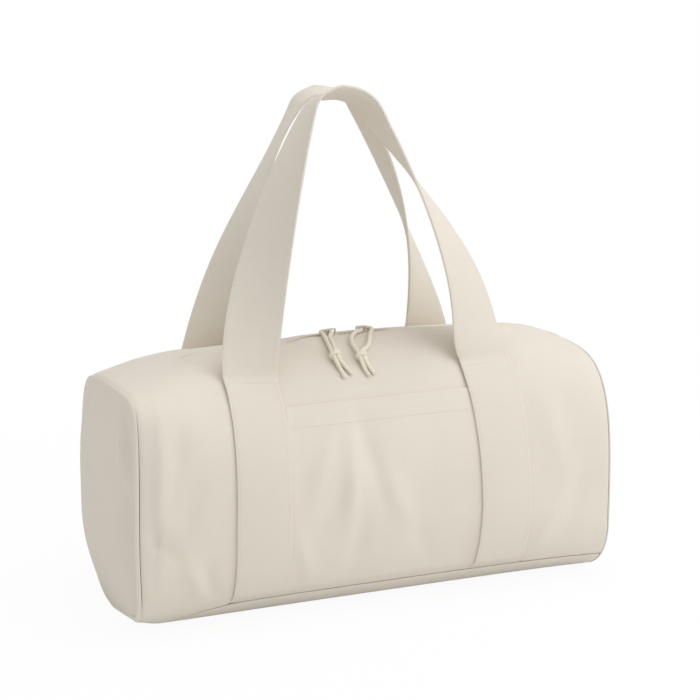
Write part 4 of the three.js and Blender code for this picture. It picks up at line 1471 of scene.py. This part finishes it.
class BAG_OT_straps(bpy.types.Operator):
    """Make each strip of strap and handle with its edge stitching"""

    bl_idname = "bag.straps"
    bl_label = "Straps and handles"

    def execute(self, context):
        t = trim()
        for word, side in SIDES:
            a, m, c, out = strip_surface(side)
            count = len(m)
            run = run_along(m)
            total = run[-1]
            bar_left, bar_right = run[SEWN_ROWS - 1], run[-SEWN_ROWS]

            def at(share, across):
                k = np.clip(np.searchsorted(run, share * total, side="right") - 1, 0, count - 2)
                f = ((share * total - run[k]) / (run[k + 1] - run[k]))[:, None]
                lines = [mix(line[k], line[k + 1], f) for line in (a, m, c)]
                return bowed(*lines, across[:, None]), mix(out[k], out[k + 1], f)

            def place(u, s):
                row = nearest(s, count - 1)
                return bowed(a[row], m[row], c[row], (u - 0.5)[:, None])

            def cloth(u, s):
                return u * t.strap_width, s * total

            piece = cloth_grid(f"{word}_strip", 12, count - 1, place, cloth)
            self.turn(piece, m[20], out[20])
            thicken(piece, t.strap_thick, 0.0, 0.0005)
            nodes = [f"{word}_strap_left", f"{word}_strap_right", f"{word}_handle"]
            dress(piece, material("strap"), nodes, ride=None)
            hinge = m[SEWN_ROWS]
            self.hinge(piece, word, hinge)

            places = []
            each = int(total / 0.0046)
            shares = (np.arange(each) + 0.5) / each
            for edge in (-1.0, 1.0):
                across = np.full(each, edge * (0.5 - 0.0028 / t.strap_width))
                here, away = at(shares, across)
                later, _ = at(np.minimum(shares + 0.001, 1.0), across)
                away = unit(away)
                for face in (1.0, -1.0):
                    top = here + away * face * (t.strap_thick / 2.0 + 0.00002)
                    ahead = later - here
                    sewn = (shares * total < bar_left) | (shares * total > bar_right)
                    for k in range(each):
                        if face > 0.0 or not sewn[k]:
                            places.append((top[k], ahead[k], away[k] * face))
            for s, aside in ((bar_left - 0.0010, 0.09), (bar_right + 0.0030, 0.15)):
                across = np.linspace(-0.22, 0.22, BAR_STITCHES) + aside
                here, away = at(np.full(BAR_STITCHES, s / total), across)
                later, _ = at(np.full(BAR_STITCHES, s / total), across + 0.01)
                for k in range(BAR_STITCHES):
                    top = here[k] + away[k] * (t.strap_thick / 2.0 + 0.0001)
                    places.append((top, later[k] - here[k], away[k]))
            thread = stitches(f"{word}_strip_stitches", places, STITCH)
            dress(thread, material("thread"), ride=None, angle=180.0)
            self.hinge(thread, word, hinge)
        return {"FINISHED"}

    def turn(self, piece, middle, out):
        """Turns the strip so that its front faces the way out of the canvas."""
        faces = piece.data.polygons
        near = min(faces, key=lambda p: (p.center - Vector(middle)).length)
        if near.normal.dot(Vector(out)) < 0.0:
            edit_all(piece, bpy.ops.mesh.flip_normals)

    def hinge(self, piece, word, point):
        """Bakes the piece's placement into its points."""
        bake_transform(piece)


# Zip


def dressed_copy(node, bevel):
    """A copy of a CAD node with its points merged, its flats joined and its edges rounded."""
    piece = bpy.data.objects.new(f"{node}_shown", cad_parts[node].data.copy())
    bpy.context.scene.collection.objects.link(piece)
    weld(piece)
    edit_all(piece, bpy.ops.mesh.dissolve_limited, angle_limit=math.radians(1.0))
    round_edges(piece, bevel, 35, use_clamp_overlap=True)
    return piece


class BAG_OT_zip(bpy.types.Operator):
    """Make the zip's tapes, teeth, stops and sliders"""

    bl_idname = "bag.zip"
    bl_label = "Zip"

    def execute(self, context):
        b = body()
        t = trim()
        end = half() - b.gap
        for word, side in SIDES:

            def tape(u, s, side=side):
                x = mix(-end, end, u)
                apart = TAPE_PARTED * np.clip((0.021 - np.abs(x)) / 0.012, 0.0, 1.0)
                inner = mix(TAPE_INNER + apart, b.gap / 2.0, fade(np.abs(x) - t.zip_half, -0.0034, 0.0012))
                out = mix(inner, TAPE_OUTER, s)
                edge = mouth_edge(x)
                back = np.maximum(0.0, out - edge)
                up = lip(x, side, back) * fade(out - edge, -0.0011, 0.0012) - dip(x, back)
                return skin(x, side, at_half_width(x, out, side), up - b.canvas - 0.00005)

            name = f"zip_tape_{word}"
            piece = cloth_grid(name, 220, 24, tape, lambda u, s: (u * b.length, s * 0.015))
            sheet(piece, ZIP_TAPE, 0.0002, "tape", [name])

            piece = dressed_copy(f"zip_teeth_{word}", 0.0003)
            for vertex in piece.data.vertices:
                vertex.co.z -= float(dip(vertex.co.x, 0.0))
            dress(piece, material("teeth"), [f"zip_teeth_{word}"])

            def line(share, lift, side=side):
                x = mix(-t.zip_half - 0.006, t.zip_half + 0.006, share)
                v = at_half_width(x, mouth_edge(x) + TAPE_STITCHED, side)
                up = lip(x, side, TAPE_STITCHED) - dip(x, TAPE_STITCHED)
                return skin(x, side, v, up + lift)

            piece = stitches(f"zip_stitches_{word}", stitch_line(line, 72), STITCH)
            dress(piece, material("thread"), angle=180.0)
        for word in ("left", "right"):
            piece = dressed_copy(f"{word}_zip_stop", 0.0003)
            dress(piece, material("enamel"), [f"{word}_zip_stop"])
            piece = dressed_copy(f"{word}_slider", 0.0002)
            dress(piece, material("enamel"), [f"{word}_slider"], ride=f"{word}_slider")
        return {"FINISHED"}


class BAG_PT_panel(bpy.types.Panel):
    """Sizes, colours and steps of the bag"""

    bl_idname = "BAG_PT_panel"
    bl_label = "Canvas barrel bag"
    bl_space_type = "VIEW_3D"
    bl_region_type = "UI"
    bl_category = "Bag"

    def draw(self, context):
        layout = self.layout
        for group in (context.scene.bag_body, context.scene.bag_trim, context.scene.bag_finish):
            column = layout.column()
            for name in group.__annotations__:
                column.prop(group, name)
        for step in STEPS:
            layout.operator(step.bl_idname)


GROUP_CLASSES = (BagBody, BagTrim, BagFinish)
STEPS = (
    BAG_OT_stage,
    BAG_OT_pull_cords,
    BAG_OT_walls,
    BAG_OT_ends,
    BAG_OT_bindings,
    BAG_OT_pocket,
    BAG_OT_straps,
    BAG_OT_zip,
)


def register():
    for item in (*GROUP_CLASSES, *STEPS, BAG_PT_panel):
        bpy.utils.register_class(item)
    bpy.types.Scene.bag_body = PointerProperty(type=BagBody)
    bpy.types.Scene.bag_trim = PointerProperty(type=BagTrim)
    bpy.types.Scene.bag_finish = PointerProperty(type=BagFinish)


def unregister():
    del bpy.types.Scene.bag_finish
    del bpy.types.Scene.bag_trim
    del bpy.types.Scene.bag_body
    for item in (BAG_PT_panel, *reversed(STEPS), *reversed(GROUP_CLASSES)):
        bpy.utils.unregister_class(item)


def main():
    register()
    bpy.ops.bag.stage()
    bpy.ops.bag.pull_cords()
    bpy.ops.bag.walls()
    bpy.ops.bag.ends()
    bpy.ops.bag.bindings()
    bpy.ops.bag.pocket()
    bpy.ops.bag.straps()
    bpy.ops.bag.zip()


if __name__ == "__main__":
    main()
